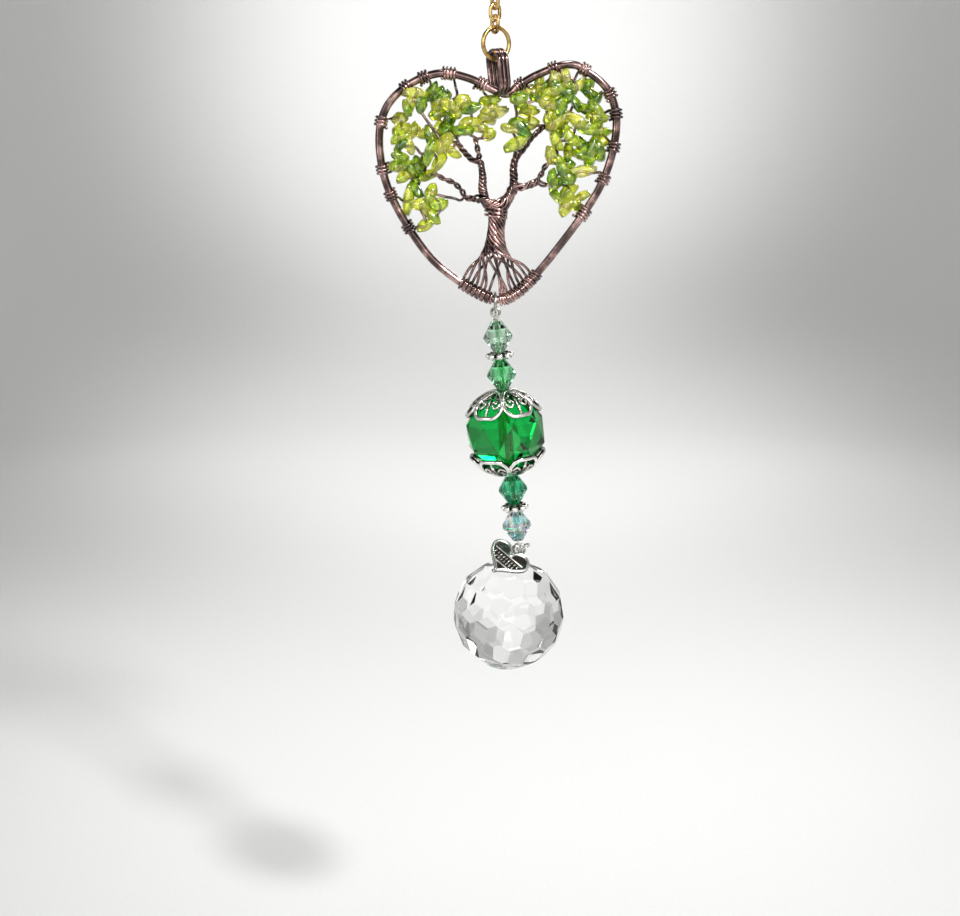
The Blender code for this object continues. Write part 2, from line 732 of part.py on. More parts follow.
def cap_height(reach):
    """The height of a cap's inner face over the bead's middle, a gap above the bead."""
    corners = bead_corners()
    inside = reach - CAP_GAP
    height = corners[0][1]
    for (near, high), (far, low) in zip(corners, corners[1:]):
        if near < inside <= far:
            height = high + (low - high) * (inside - near) / (far - near)
    return height + CAP_GAP


def cap_grid(form):
    """The corners of a cap, by petal, row outward from the hole, and column across the petal. Next to the hole
    a petal shares its last column with the first one of the next petal."""
    grid = {}
    half = math.pi / CAP_PETALS
    rows = [(GREEN_BEAD_BORE / 2, 1.0)] + [(CAP_DIAMETER / 2 * reach, broad) for reach, broad in CAP_ROWS]
    for petal in range(CAP_PETALS):
        for row, (reach, broad) in enumerate(rows):
            for column, share in enumerate(CAP_COLUMNS):
                key = cap_key(petal, row, column)
                if key in grid:
                    continue
                drawn_in = row == len(rows) - 1 and abs(share) == 1
                out = reach * (CAP_CORNER if drawn_in else 1.0)
                angle = half * (2 * petal + share * broad)
                grid[key] = form.verts.new((out * math.cos(angle), out * math.sin(angle), cap_height(out)))
    return grid


def cap_key(petal, row, column):
    if row < 2 and column == len(CAP_COLUMNS) - 1:
        return (petal + 1) % CAP_PETALS, row, 0
    return petal, row, column


def cap_mesh():
    """A dome of pierced petals that fits the bead, with a plain middle round the hole."""
    form = bmesh.new()
    grid = cap_grid(form)
    for petal in range(CAP_PETALS):
        for row in range(len(CAP_ROWS)):
            for column in range(len(CAP_COLUMNS) - 1):
                if row == 1 and column == 1:
                    continue
                cells = [(row, column), (row + 1, column), (row + 1, column + 1), (row, column + 1)]
                form.faces.new([grid[cap_key(petal, *cell)] for cell in cells])
    bmesh.ops.recalc_face_normals(form, faces=form.faces)
    if sum(face.normal.z for face in form.faces) < 0:
        bmesh.ops.reverse_faces(form, faces=form.faces)
    helper = bpy.data.objects.new("cap", mesh_from(form))
    bpy.context.scene.collection.objects.link(helper)
    wall = helper.modifiers.new("wall", "SOLIDIFY")
    wall.thickness = CAP_THICKNESS
    wall.offset = 1
    made = evaluated_mesh(helper)
    bpy.data.objects.remove(helper)
    return made


def make_pin(top, eye_distance, silver):
    """A wire with a loop at each end, both facing the viewer."""
    loop = (PIN_TOP_LOOP - PIN_WIRE) / 2
    eye = (PIN_EYE - PIN_WIRE) / 2
    meshes = []
    for distance, radius in ((0.0, loop), (eye_distance, eye)):
        ring = tube(circle(radius, PIN_LOOP_STEPS), PIN_WIRE, PIN_SIDES, closed=True)
        meshes.append(placed(ring, pin_place(top, distance) @ Matrix.Rotation(math.pi / 2, 4, "X")))
    stem = tube([along_pin(top, loop), along_pin(top, eye_distance - eye)], PIN_WIRE, PIN_SIDES)
    return add_piece("eye_pin", combined(stem, meshes), silver)


def make_beads(top, silver, glasses):
    """Threads the beads on the pin, and returns how far down it the last one ends."""
    distance = PIN_TOP_LOOP / 2 + PIN_NECK
    play = Matrix.Translation((-GREEN_BEAD_SHIFT, 0, 0))
    half_bead = GREEN_BEAD_HEIGHT / 2
    for number, glass in enumerate(("pale", "mid", "dark", "rainbow"), 1):
        if number == 3:
            distance += CAP_THICKNESS + CAP_GAP
            middle = distance + half_bead
            place = pin_place(top, middle) @ play
            add_piece("green_bead", placed(green_bead_mesh(), place), glasses["emerald"])
            add_piece("bead_cap_top", placed(cap_mesh(), place), silver)
            flipped = place @ Matrix.Rotation(math.pi, 4, "X")
            add_piece("bead_cap_bottom", placed(cap_mesh(), flipped), silver)
            distance += GREEN_BEAD_HEIGHT + CAP_GAP + CAP_THICKNESS + CLEARANCE
        place = pin_place(top, distance + BICONE_HEIGHT / 2)
        add_piece(f"bicone_{number}", placed(bicone_mesh(), place), glasses[glass])
        distance += BICONE_HEIGHT
        if number % 2:
            distance += CLEARANCE
            place = pin_place(top, distance + SPACER_CORE / 2)
            add_piece(f"spacer_{number // 2 + 1}", placed(spacer_mesh(), place), silver)
            distance += SPACER_CORE
        distance += CLEARANCE
    return distance - CLEARANCE


def ball_mesh():
    """A ball cut flat by rows of facets, each row turned half a facet from the one above."""
    radius = BALL_DIAMETER / 2
    form = bmesh.new()
    bmesh.ops.create_cube(form, size=BALL_DIAMETER)
    for row, (angle, count) in enumerate(BALL_ROWS):
        tilt = math.radians(angle)
        for step in range(count):
            turn = 2 * math.pi * (step + 0.5 * (row % 2)) / count
            facing = Matrix.Rotation(turn, 3, "Z") @ Vector((math.sin(tilt), 0, math.cos(tilt)))
            cut_flat(form, facing * radius * BALL_FACETING, facing)
    bmesh.ops.recalc_face_normals(form, faces=form.faces)
    return mesh_from(form)


def cut_flat(form, place, facing):
    geometry = form.verts[:] + form.edges[:] + form.faces[:]
    made = bmesh.ops.bisect_plane(form, geom=geometry, plane_co=place, plane_no=facing, clear_outer=True)
    edges = [item for item in made["geom_cut"] if isinstance(item, bmesh.types.BMEdge)]
    if edges:
        bmesh.ops.holes_fill(form, edges=edges)


def make_ball(eye_middle, silver, crystal):
    """The ball under the pin's eye, and the peg with a loop that is set in its top."""
    eye_bottom = eye_middle.z - PIN_EYE / 2 + PIN_WIRE
    loop_middle = Vector((eye_middle.x, 0, eye_bottom + CLEARANCE + PEG_WIRE - PEG_LOOP / 2))
    loop_low = loop_middle.z - PEG_LOOP / 2
    radius = BALL_DIAMETER / 2
    drop = math.sqrt(radius ** 2 - BALL_SHIFT ** 2)
    middle = Vector((eye_middle.x - BALL_SHIFT, 0, loop_low - CLEARANCE - drop))
    axis = (loop_middle - middle).normalized()
    foot = middle + axis * (radius - PEG_DEPTH)
    ring = tube(circle((PEG_LOOP - PEG_WIRE) / 2, PIN_LOOP_STEPS), PEG_WIRE, PIN_SIDES, closed=True)
    turn = Matrix.Translation(loop_middle) @ Matrix.Rotation(math.pi / 2, 4, "Y")
    neck = loop_middle - axis * (PEG_LOOP - PEG_WIRE) / 2
    stem = tube([neck, foot], PEG_WIRE, PIN_SIDES)
    add_piece("ball_peg", combined(stem, [placed(ring, turn)]), silver)
    place = Matrix.Translation(middle) @ axis.to_track_quat("Z", "Y").to_matrix().to_4x4()
    outside = middle + axis * (radius + PEG_DEPTH)
    bore = tube([outside, foot - axis * CLEARANCE], PEG_WIRE + 2 * CLEARANCE, PIN_SIDES)
    ball = combined(placed(ball_mesh(), place), removed=[bore])
    add_piece("crystal_ball", ball, crystal)
    return middle


def heart_shape(width, height, steps):
    """A small heart in the XY plane: dip towards +Y, point towards -Y."""
    points = []
    for step in range(steps):
        turn = 2 * math.pi * step / steps
        x = math.sin(turn) ** 3
        y = sum(size * math.cos(times * turn) for times, size in enumerate(CHARM_CURVE, 1)) / CHARM_CURVE_SPAN
        points.append(Vector((x * width / 2, (y + CHARM_CURVE_LIFT) * height, 0)))
    return points


def plate(points, thickness):
    form = bmesh.new()
    face = form.faces.new([form.verts.new(point) for point in points])
    face.normal_update()
    made = bmesh.ops.extrude_face_region(form, geom=[face])
    moved = [item for item in made["geom"] if isinstance(item, bmesh.types.BMVert)]
    bmesh.ops.translate(form, verts=moved, vec=Vector((0, 0, thickness)))
    bmesh.ops.recalc_face_normals(form, faces=form.faces)
    return mesh_from(form)


def charm_mesh():
    """A flat heart with a raised rim, two ridges that border a band, and a lug at the dip."""
    body = plate(heart_shape(CHARM_WIDTH, CHARM_HEIGHT, CHARM_STEPS), CHARM_THICKNESS)
    inner = heart_shape(CHARM_WIDTH * CHARM_HOLLOW, CHARM_HEIGHT * CHARM_HOLLOW, CHARM_STEPS)
    hollow = plate(inner, CHARM_THICKNESS)
    sunk = placed(hollow, Matrix.Translation((0, 0, CHARM_THICKNESS - CHARM_RELIEF)))
    ridges = []
    end = Vector((CHARM_WIDTH * CHARM_RIDGE_REACH, 0, 0))
    for aside in (-CHARM_RIDGE_ASIDE, CHARM_RIDGE_ASIDE):
        ridge = tube([-end, end], CHARM_RIDGE_WIRE, SMALL_RING_SIDES)
        ridges.append(placed(ridge, Matrix.Translation((0, aside, CHARM_THICKNESS - CHARM_RELIEF))))
    lug_radius = (CHARM_LUG - CHARM_LUG_WIRE) / 2
    lug = tube(circle(lug_radius, SMALL_RING_STEPS), CHARM_LUG_WIRE, SMALL_RING_SIDES, closed=True)
    lug_at = Vector((0, CHARM_HEIGHT * CHARM_DIP + lug_radius, CHARM_THICKNESS / 2))
    body = combined(body, removed=[sunk])
    return combined(body, ridges + [placed(lug, Matrix.Translation(lug_at))])


def make_charm(ball_middle, eye_middle, silver):
    """The charm, which leans on the ball, and the ring that holds it to the pin's eye."""
    up = (CHARM_UP - CHARM_FACING * CHARM_UP.dot(CHARM_FACING)).normalized()
    right = up.cross(CHARM_FACING)
    turn = Matrix((right, up, CHARM_FACING)).transposed().to_4x4()
    on_ball = ball_middle + CHARM_FACING * (BALL_DIAMETER / 2 + CLEARANCE)
    back = on_ball - right * CHARM_ASIDE + up * CHARM_ABOVE
    add_piece("heart_charm", placed(charm_mesh(), Matrix.Translation(back) @ turn), silver)
    centre = eye_middle + CHARM_RING_AT
    ring_facing("charm_ring", centre, CHARM_RING_FACING, CHARM_RING_DIAMETER, CHARM_RING_WIRE, silver)


def main():
    clear_scene()
    brass = make_material("antique brass", (0.42, 0.29, 0.10), 0.35, 1.0)
    copper = make_material("antique copper", (0.20, 0.11, 0.09), 0.4, 1.0)
    silver = make_material("antique silver", (0.55, 0.54, 0.51), 0.35, 1.0)
    stone = make_material("peridot", (0.46, 0.62, 0.10), 0.15, clear=0.8)
    crystal = make_material("clear crystal", (0.96, 0.97, 0.98), 0.02, clear=1.0)
    glasses = {
        "pale": make_material("pale green glass", (0.55, 0.80, 0.62), 0.02, clear=1.0),
        "mid": make_material("mid green glass", (0.10, 0.55, 0.22), 0.02, clear=1.0),
        "dark": make_material("dark green glass", (0.02, 0.32, 0.14), 0.02, clear=1.0),
        "rainbow": make_material("rainbow coated glass", (0.62, 0.85, 0.72), 0.02, clear=1.0),
        "emerald": make_material("emerald glass", (0.01, 0.45, 0.10), 0.02, clear=1.0),
    }
    ring_middle = make_chain(brass)
    bearing = ring_middle - BRASS_RING_DIAMETER / 2 + BRASS_RING_WIRE
    bail_half = BAIL_PITCH * (BAIL_TURNS - 1) / 2 + BAIL_WIRE / 2
    ring_inside = BRASS_RING_DIAMETER / 2 - BRASS_RING_WIRE
    ring_rise = ring_inside - math.sqrt(ring_inside ** 2 - bail_half ** 2)
    bail_top = Vector((BRASS_RING_SHIFT, 0, bearing + ring_rise + CLEARANCE + BAIL_WIRE))
    dip = Vector((DIP_SHIFT, 0, bail_top.z - BAIL_HEIGHT + BAIL_WIRE / 2))
    heart = Heart(dip)
    frame = make_frame(heart, copper)
    make_bail(heart, bail_top, copper)
    make_tree(heart, copper)
    make_stones(heart, frame, stone)
    link_middle = heart.tip + Vector((0, 0, FRAME_WIRE / 2 + CLEARANCE + TIP_LINK_WIRE - TIP_LINK_DIAMETER / 2))
    add_ring("tip_link", link_middle, TIP_LINK_DIAMETER, TIP_LINK_DIAMETER, TIP_LINK_WIRE, math.pi / 2, silver)
    link_low = link_middle.z - TIP_LINK_DIAMETER / 2 + TIP_LINK_WIRE
    pin_top = Vector((heart.tip.x, 0, link_low + CLEARANCE + PIN_WIRE - PIN_TOP_LOOP / 2))
    beads_end = make_beads(pin_top, silver, glasses)
    eye_distance = beads_end + PIN_NECK + PIN_EYE / 2
    make_pin(pin_top, eye_distance, silver)
    eye_middle = along_pin(pin_top, eye_distance)
    ball_middle = make_ball(eye_middle, silver, crystal)
    make_charm(ball_middle, eye_middle, silver)


main()
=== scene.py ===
"""The look of the crystal suncatcher: wire heart with its tree of stones, chain, beads, charm and ball."""
import math
import random

import bmesh
import bpy
from mathutils import Matrix, Vector


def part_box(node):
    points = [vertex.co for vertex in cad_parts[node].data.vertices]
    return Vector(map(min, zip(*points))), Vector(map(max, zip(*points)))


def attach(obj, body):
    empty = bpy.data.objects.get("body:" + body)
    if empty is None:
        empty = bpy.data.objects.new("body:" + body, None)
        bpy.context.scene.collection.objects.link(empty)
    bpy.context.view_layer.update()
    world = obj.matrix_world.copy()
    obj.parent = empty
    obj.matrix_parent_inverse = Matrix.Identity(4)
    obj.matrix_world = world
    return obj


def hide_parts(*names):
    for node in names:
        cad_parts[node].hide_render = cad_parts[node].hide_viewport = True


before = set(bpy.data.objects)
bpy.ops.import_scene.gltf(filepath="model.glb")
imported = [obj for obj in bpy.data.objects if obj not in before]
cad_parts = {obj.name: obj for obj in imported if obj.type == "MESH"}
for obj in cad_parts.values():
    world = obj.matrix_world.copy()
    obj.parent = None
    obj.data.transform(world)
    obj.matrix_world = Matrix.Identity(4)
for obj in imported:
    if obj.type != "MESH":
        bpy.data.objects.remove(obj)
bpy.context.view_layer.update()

MM = 0.001

# Camera, as it stood for the photograph.
LOOK_AT = Vector((-3.8, 0, -134.2)) * MM
CAMERA_DISTANCE = 405 * MM
CAMERA_PITCH = math.radians(13)
CAMERA_LENS = 56.25

# Paper floor and wall, in metres.
FLOOR_DROP = 0.30
FLOOR_REACH = 0.85
FLOOR_BEND = 0.4
BEND_STEPS = 12
WALL_HEIGHT = 1.3

# Rings and chain.
RING_TURN = math.radians(33)
RING_GAUGE = 1.2 * MM
LINK_GAUGE = 0.9 * MM
BRASS_RING_GAUGE = 1.1 * MM
LINK_COUNT = 5

# Bail.
BAIL_GAUGE = 1.12 * MM
BAIL_DEPTH = 7.0 * MM
BAIL_HEIGHT = 12.0 * MM
BAIL_PITCH = 1.13 * MM
BAIL_TURNS = 3
BAIL_TOP = Vector((0.3, 0, -27.353)) * MM
BAIL_LEAN = math.radians(6)
BAIL_END_STEPS = 16
BAIL_OPEN_STEPS = 3
BAIL_WAVER = 0.03
BAIL_WAVER_STEP = 0.37

# Heart frame, in hundredths of its width and height from the dip.
DIP = Vector((2.4, 0, -38.653)) * MM
HEART_WIDTH = 61.2 * MM
HEART_HEIGHT = 59.8 * MM
FRAME_GAUGE = 2.1 * MM
HEART_OUTLINE = [
    (0, 0), (-15, 6.5), (-27, 8.5), (-39.5, 4), (-49.5, -6), (-52.5, -21.5), (-48, -42.5), (-33.5, -67),
    (-18.5, -80.5), (-3.5, -88), (7, -84), (22, -67), (40.5, -39.5), (47, -16), (44, 0.5), (33.5, 10),
    (25.5, 12), (14, 8), (6, 3.5),
]
OUTLINE_STEPS = 12

# Tree wire: how it is wound on the frame, and the room between two points along it.
TREE_GAUGE = 0.76 * MM
COIL_REACH = FRAME_GAUGE / 2 + TREE_GAUGE / 2 + 0.03 * MM
COIL_STEPS = 12
WRAP_PITCH = 0.86 * MM
ROOT_PITCH = 0.84 * MM
WIRE_STEP = 0.55 * MM
ROOT_SPAN_LEFT = (44.6, 49.35)
ROOT_SPAN_RIGHT = (50.45, 57.0)
ROOTS_LEFT = 7
ROOT_TURNS = 1.45
ROOT_LIFT = 0.35 * MM
ROOT_STEPS = 12
ROOT_LEAVE = 0.42
ROOT_ARRIVE = 0.28
WRAP_SPARE = (-0.08, 0.12)
SNIP_LENGTH = 0.5 * MM
SNIP_LIFT = (0.1, 0.5)

# Trunk from the roots upward: x and z in hundredths, and its width.
TRUNK = [(-3.6, -65.5, 6.2), (-3.5, -61.5, 5.0), (-3.2, -57, 4.5), (-2.7, -52, 4.8), (-2.5, -49, 5.0)]
TRUNK_OUTER = 12
TRUNK_INNER = 4
TRUNK_INNER_REACH = 0.45
TRUNK_INNER_TURN = 0.1
TRUNK_TWIST = 15.0 * MM
TRUNK_SWING = math.radians(60)
LIMB_TWIST = 4.8 * MM
STRAND_STEP = 0.6 * MM
SAME_PLACE = 1e-9

# Binding round the top of the trunk.
BINDING_MIDDLE = (-3.4, -49.3)
BINDING_TURNS = 2.5
BINDING_REACH = 2.75 * MM
BINDING_FLATNESS = 0.95
BINDING_TOP = 0.9 * MM
BINDING_FALL = 2.6 * MM
BINDING_SLANT = 0.7 * MM

# Limbs: the wires in each, then x and z in hundredths and the reach of the strands in millimetres.
LIMBS = {
    "left": ((1, 2, 3, 4, 5, 6, 7, 8), [(-7.5, -45.6, 1.1)]),
    "left far": ((6, 7, 8), [(-11.5, -44.2, 0.8), (-15, -44, 0.6)]),
    "left up": ((1, 2, 3, 4, 5), [(-9, -40, 0.85), (-9, -35, 0.7), (-10, -29, 0.6)]),
    "left top": ((1, 2), [(-11, -24, 0.45), (-12, -19, 0.4)]),
    "left inner": ((3, 4, 5), [(-13, -28, 0.5), (-17, -24, 0.46), (-20, -20, 0.42)]),
    "left middle": ((6, 7), [(-21, -37.5, 0.42), (-25, -36, 0.4), (-29, -33.5, 0.4)]),
    "left low": ((8,), [(-20, -44.5, 0.2), (-26, -43, 0.05), (-29, -42.5, 0.0)]),
    "right": ((9, 10, 11, 12, 13, 14, 15, 16), [(1.5, -44.5, 1.2), (4, -40, 1.0)]),
    "right up": ((9, 10, 11, 12), [(4.2, -35, 0.8), (4, -31, 0.7), (5, -27, 0.6)]),
    "right top": ((9,), [(4.6, -24, 0.2)]),
    "right inner": ((10, 11, 12), [(9, -22, 0.5), (11, -19, 0.46), (14, -16, 0.44), (17, -13.5, 0.4)]),
    "right low": ((13, 14, 15, 16), [(9, -39, 0.62), (14, -37, 0.52)]),
    "right low up": ((13, 14), [(17, -31, 0.42), (19, -29, 0.4)]),
    "right low out": ((15, 16), [(16.5, -38.2, 0.42), (21, -38, 0.4)]),
}

# Strings: limbs that the wire passes, side (-1 in front, 1 behind), share of the outline and turns of its
# wrap, and its way through the stones. A place is x and z in hundredths, then the stone's size where it
# isn't 1, or 0 for bare wire, and where the stone's long way is known, its angle in degrees.
STRINGS = [
    (("left", "left up", "left top"), 1, 3.3, 3, [
        (-6.1, -17.2), (-10.6, -13.8), (-6.3, -10.4), (-3.1, -7.7, 1.15, 20), (-6.1, -5.8),
        (-5.6, -2.9, 1.1, 5), (-8.5, 0.5, 0)]),
    (("left", "left up", "left top"), -1, 7.8, 4, [
        (-16.6, -15), (-13.9, -11.2), (-14.3, -5.8, 1.1), (-16.4, -3.4), (-20.1, -7.5),
        (-22.6, -3.8), (-19.7, -0.9, 0), (-20.3, 3.0, 0)]),
    (("left", "left up", "left inner"), 1, 11.2, 3, [
        (-21.1, -16.3, 1.1), (-24.9, -14.2), (-23.2, -10.9), (-27.9, -7.1), (-25.7, -2.5),
        (-28.6, -4.4), (-27.5, -0.4), (-31.4, 0.2), (-30.7, 3.6, 0)]),
    (("left", "left up", "left inner"), -1, 13.9, 3, [
        (-22.3, -23.8, 1.15, -40), (-25.6, -20.4), (-30.6, -13.5, 0), (-34.7, -7.1, 0), (-34.4, -4.4),
        (-39.3, -3.4), (-41.0, -5.4), (-36.3, 0.6, 1.1)]),
    (("left", "left up", "left inner"), 1, 19.6, 3, [
        (-25.8, -20.2), (-28.7, -15.1), (-30.8, -17.6), (-35.9, -15.1), (-38.2, -16.3),
        (-42.6, -15.1, 1.05), (-44.2, -10.4, 1.05)]),
    (("left", "left far", "left middle"), -1, 25.8, 3, [
        (-27.8, -28.6, 1.1, 50), (-30.7, -23.8, 1.3, 70), (-34.5, -25.1, 0), (-36.9, -22.5, 0),
        (-39.4, -21.7), (-43.2, -21.3), (-43.8, -17.4), (-43.6, -26.3), (-44.0, -30.6)]),
    (("left", "left far", "left middle"), 1, 29.4, 3, [
        (-33.1, -34.6), (-33.4, -27.8), (-36.9, -29.9), (-39.8, -30.4), (-42.3, -34.9),
        (-36.5, -35.9), (-37, -40.6), (-40.6, -45.4, 1.35, 82), (-43.2, -45.2, 0)]),
    (("left", "left far", "left low"), -1, 34.3, 3, [
        (-31.2, -41.1, 1.1, 80), (-27, -47.1), (-29.8, -52.2), (-33.4, -48, 1.15, 85), (-35.7, -46.5),
        (-33, -55.3, 1.05), (-36.8, -56.2, 0)]),
    (("right", "right up", "right top"), -1, 97.4, 3, [
        (5.6, -20, 1.2, 30), (3.2, -13.8), (7.4, -14.6), (5.3, -12.1), (5.1, -7.5, 0), (4.4, -3.8, 0),
        (6.1, -1.6), (3.2, -0.2, 0)]),
    (("right", "right up", "right inner"), 1, 92.6, 3, [
        (11, -12.6), (10.9, -7.5, 1.1), (7.7, -5.2), (14.2, -1.6, 1.1), (11.3, 1.3), (15, 4.4),
        (17.6, 2.4)]),
    (("right", "right up", "right inner"), -1, 88.3, 3, [
        (20.8, -12.1, 1.05), (18.6, -9.6), (17.8, -4.2), (22.8, -5.4), (21.5, -2.5),
        (19.8, 0.4), (23.5, 2.4), (21.8, 5.3), (26.8, 3.3), (25.1, 7.2), (30.1, 3.3, 1.1),
        (26.9, 0.4)]),
    (("right", "right up", "right inner"), 1, 83.6, 3, [
        (22, -15.9, 1.05), (25.7, -13), (26.1, -9.6), (27.8, -7.5, 0), (29.8, -4.4, 1.1), (34.5, -7.1, 1.1),
        (36.0, -0.4), (35.2, 3.4), (38.6, -1.6)]),
    (("right", "right low", "right low up"), -1, 80.9, 3, [
        (19.6, -25.9), (22.2, -26.3, 1.1), (22.1, -20.4), (27.9, -18.8, 1.1), (31.2, -11.7, 1.05),
        (34.6, -14.4), (38.0, -6.3), (38.7, -9.6)]),
    (("right", "right low", "right low up"), 1, 76.6, 3, [
        (26.8, -29.1), (26.7, -24.8), (31.8, -26.5), (33, -21.8, 1.1), (37.3, -21),
        (36.6, -25.7, 1.3, 75), (40.4, -24), (40.4, -20.2), (40.8, -16.3, 1.05), (39.5, -13.4),
        (43.0, -18.3, 0)]),
    (("right", "right low", "right low out"), -1, 72.2, 3, [
        (20.8, -35.8, 1.05), (25.6, -32.4), (27.1, -34.8), (32.4, -32.4, 1.3, 10), (36.0, -33.1, 0)]),
    (("right", "right low", "right low out"), 1, 66.9, 4, [
        (23.5, -38.1, 1.05), (28, -40.6, 1.2, 40), (24, -44.5), (26.2, -48.2), (30, -44.5, 1.1),
        (33.2, -43.4), (31.3, -47.4)]),
]
STRING_DEPTH = 2.1 * MM
STONE_LONG = (2.5, 3.2)
STONE_BROAD = (1.7, 2.2)
STONE_THIN = (1.35, 1.8)
STONE_GROWTH = 1.28
STONE_CORNERS = (0.66, 1.12)
STONE_LEAN = 38
STONE_TILT = 0.35
STONE_ROLL = 0.5
STONE_SHIFT = (0.3, 0.7, 0.3)

# Link round the tip, eye pin, and the beads threaded on it.
PIN_TOP = Vector((0.258, 0, -94.727)) * MM
PIN_TILT = math.radians(5.8)
PIN_GAUGE = 0.8 * MM
PIN_LOOP = 1.1 * MM
PIN_EYE = 1.55 * MM
PIN_CLOSED = 0.94
COLLAR_REACH = 0.62 * MM
COLLAR_HEIGHT = 0.9 * MM
COLLAR_STEPS = 25
COLLAR_DROP = 0.75 * MM
COLLAR_GAUGE = 0.4 * MM
EYE_DISTANCE = 65.45 * MM
BORE_INSET = 0.88
BICONES = [(0.91, -101.144), (1.941, -111.291), (5.144, -142.829), (6.175, -152.977)]
BICONE_END = (1.5, 4.25)
BICONE_WAIST = (4.0, 0.22)
SPACERS = [(1.425, -106.218), (5.659, -147.903)]
SPACER_BALLS = 8
GREEN_BEAD = Vector((3.045, 0, -127.111)) * MM
GREEN_SIDES = 8
GREEN_TURN = math.radians(10)
GREEN_ROWS = [(3.22, 10.25), (7.5, 7.84), (10.46, 3.31), (10.46, -3.31), (7.5, -7.84), (3.22, -10.25)]
CAP_PROFILE = [(0, 10.7), (3, 10.7), (4.3, 10.34), (6, 9.39), (7.8, 8.37), (9, 6.69), (10.25, 4.77)]

# Filigree caps: half of a petal's outline, its stem and the curl beside it, measured out from the hole
# and aside in millimetres. The tail's places also have their height over the bead.
CAP_PETALS = 6
PETAL_HALF = [
    (2.3, 0.35), (3.4, 1.5), (4.9, 2.7), (6.4, 3.5), (7.8, 3.75), (8.9, 3.1), (9.6, 2.0), (9.75, 0.9),
]
PETAL_STEM = [(5.2, 0), (6.2, 0), (7.2, 0), (8.2, 0), (9.4, 0)]
PETAL_LIFT = 0.42
PETAL_GAUGE = 1.15 * MM
SCROLL_GAUGE = 0.75 * MM
CURL_TAIL = [(2.6, 0.4, 0.3), (3.9, 0.75, 0.32)]
CURL_MIDDLE = (6.75, 1.75)
CURL_STEPS = 16
CURL_START = 200
CURL_SWEEP = 400
CURL_REACH = 1.75
CURL_CLOSING = 1.15
CURL_FLATNESS = 0.85
CURL_LIFT = 0.33

# Ball, peg and charm.
PEG_MIDDLE = Vector((6.872, 0, -161.592)) * MM
PEG_FOOT = Vector((5.922, 0, -167.487)) * MM
PEG_AXIS = Vector((0.1591, 0, 0.9873))
BALL_MIDDLE = Vector((4.172, 0, -178.347)) * MM
BALL_RADIUS = 15 * MM
BALL_ROWS = [(24, 6), (48, 12), (72, 14), (96, 14), (120, 14), (146, 9)]
BALL_FACET_REACH = 0.985
CHARM_BACK = Vector((2.847, -5.42, -161.821)) * MM
CHARM_RIGHT = Vector((0.755, -0.354, -0.552))
CHARM_UP = Vector((0.606, 0.699, 0.381))
CHARM_FACING = Vector((0.25, -0.62, 0.74))
CHARM_WIDTH = 12 * MM
CHARM_HEIGHT = 10.6 * MM
CHARM_THICKNESS = 1.0 * MM
CHARM_CORNERS = 64
CHARM_RIM = 0.62 * MM
CHARM_HOLLOW = 0.36 * MM
CHARM_LUG = 1.3 * MM
STROKE_COUNT = 9
STROKE_PITCH = 0.92
STROKE_LEAN = 78
CHARM_RING_FACING = Vector((-0.34, 0.03, 0.94))


# Placing and joining

def new_object(name, data):
    thing = bpy.data.objects.new(name, data)
    bpy.context.scene.collection.objects.link(thing)
    return thing


def tree_place(x, z, y=0.0):
    """A place given in hundredths of the heart's width and height from the dip."""
    return DIP + Vector((HEART_WIDTH * x / 100, y, HEART_HEIGHT * z / 100))


def box_middle(node):
    low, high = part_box(node)
    return (low + high) / 2


def turned_to(facing, middle):
    """The matrix that stands a flat ring at the middle, facing that way."""
    return Matrix.Translation(middle) @ facing.to_track_quat("Z", "Y").to_matrix().to_4x4()


def on_pin(middle):
    """The matrix of a bead on the pin, its own +Z upward along the pin."""
    return Matrix.Translation(middle) @ Matrix.Rotation(-PIN_TILT, 4, "Y")


def finished_mesh(form, smooth=True):
    """Turns a bmesh into a mesh that faces outward, with its faces of up to four corners shaded smooth."""
    bmesh.ops.recalc_face_normals(form, faces=form.faces)
    for face in form.faces:
        face.smooth = smooth and len(face.verts) < 5
    mesh = bpy.data.meshes.new("made")
    form.to_mesh(mesh)
    form.free()
    return mesh


def only(items, kind):
    return [item for item in items if isinstance(item, kind)]


def soft_edges(form, width, segments=1):
    """Takes a narrow strip off every edge."""
    bmesh.ops.bevel(
        form, geom=form.edges[:], offset=width, segments=segments, profile=0.5, affect="EDGES", material=-1,
        clamp_overlap=True,
    )


def joined(meshes):
    """One mesh of several, each with its place already in it."""
    form = bmesh.new()
    for mesh in meshes:
        form.from_mesh(mesh)
        bpy.data.meshes.remove(mesh)
    mesh = bpy.data.meshes.new("joined")
    form.to_mesh(mesh)
    form.free()
    return mesh


def placed(mesh, matrix):
    mesh.transform(matrix)
    return mesh


def add_piece(name, mesh, finish, slot, *nodes):
    """A finished piece, which rides on the one body and stands for the CAD nodes."""
    mesh.name = name
    mesh.materials.clear()
    mesh.materials.append(finish)
    piece = new_object(name, mesh)
    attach(piece, "root")
    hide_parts(*nodes)


# Wire

def drawn_wire(lines, gauge, closed=False, sides=8):
    """Round wire of one gauge along each line of points, as a mesh with its ends closed."""
    curve = bpy.data.curves.new("wire", "CURVE")
    curve.dimensions = "3D"
    curve.bevel_depth = gauge / 2
    curve.bevel_resolution = (sides - 4) // 2
    curve.use_fill_caps = not closed
    for line in lines:
        spline = curve.splines.new("POLY")
        spline.points.add(len(line) - 1)
        for point, place in zip(spline.points, line):
            point.co = (*place, 1)
        spline.use_cyclic_u = closed
    helper = new_object("wire", curve)
    graph = bpy.context.evaluated_depsgraph_get()
    form = bmesh.new()
    form.from_mesh(bpy.data.meshes.new_from_object(helper.evaluated_get(graph), depsgraph=graph))
    bpy.data.objects.remove(helper)
    bmesh.ops.remove_doubles(form, verts=form.verts, dist=0.001 * MM)
    return finished_mesh(form)


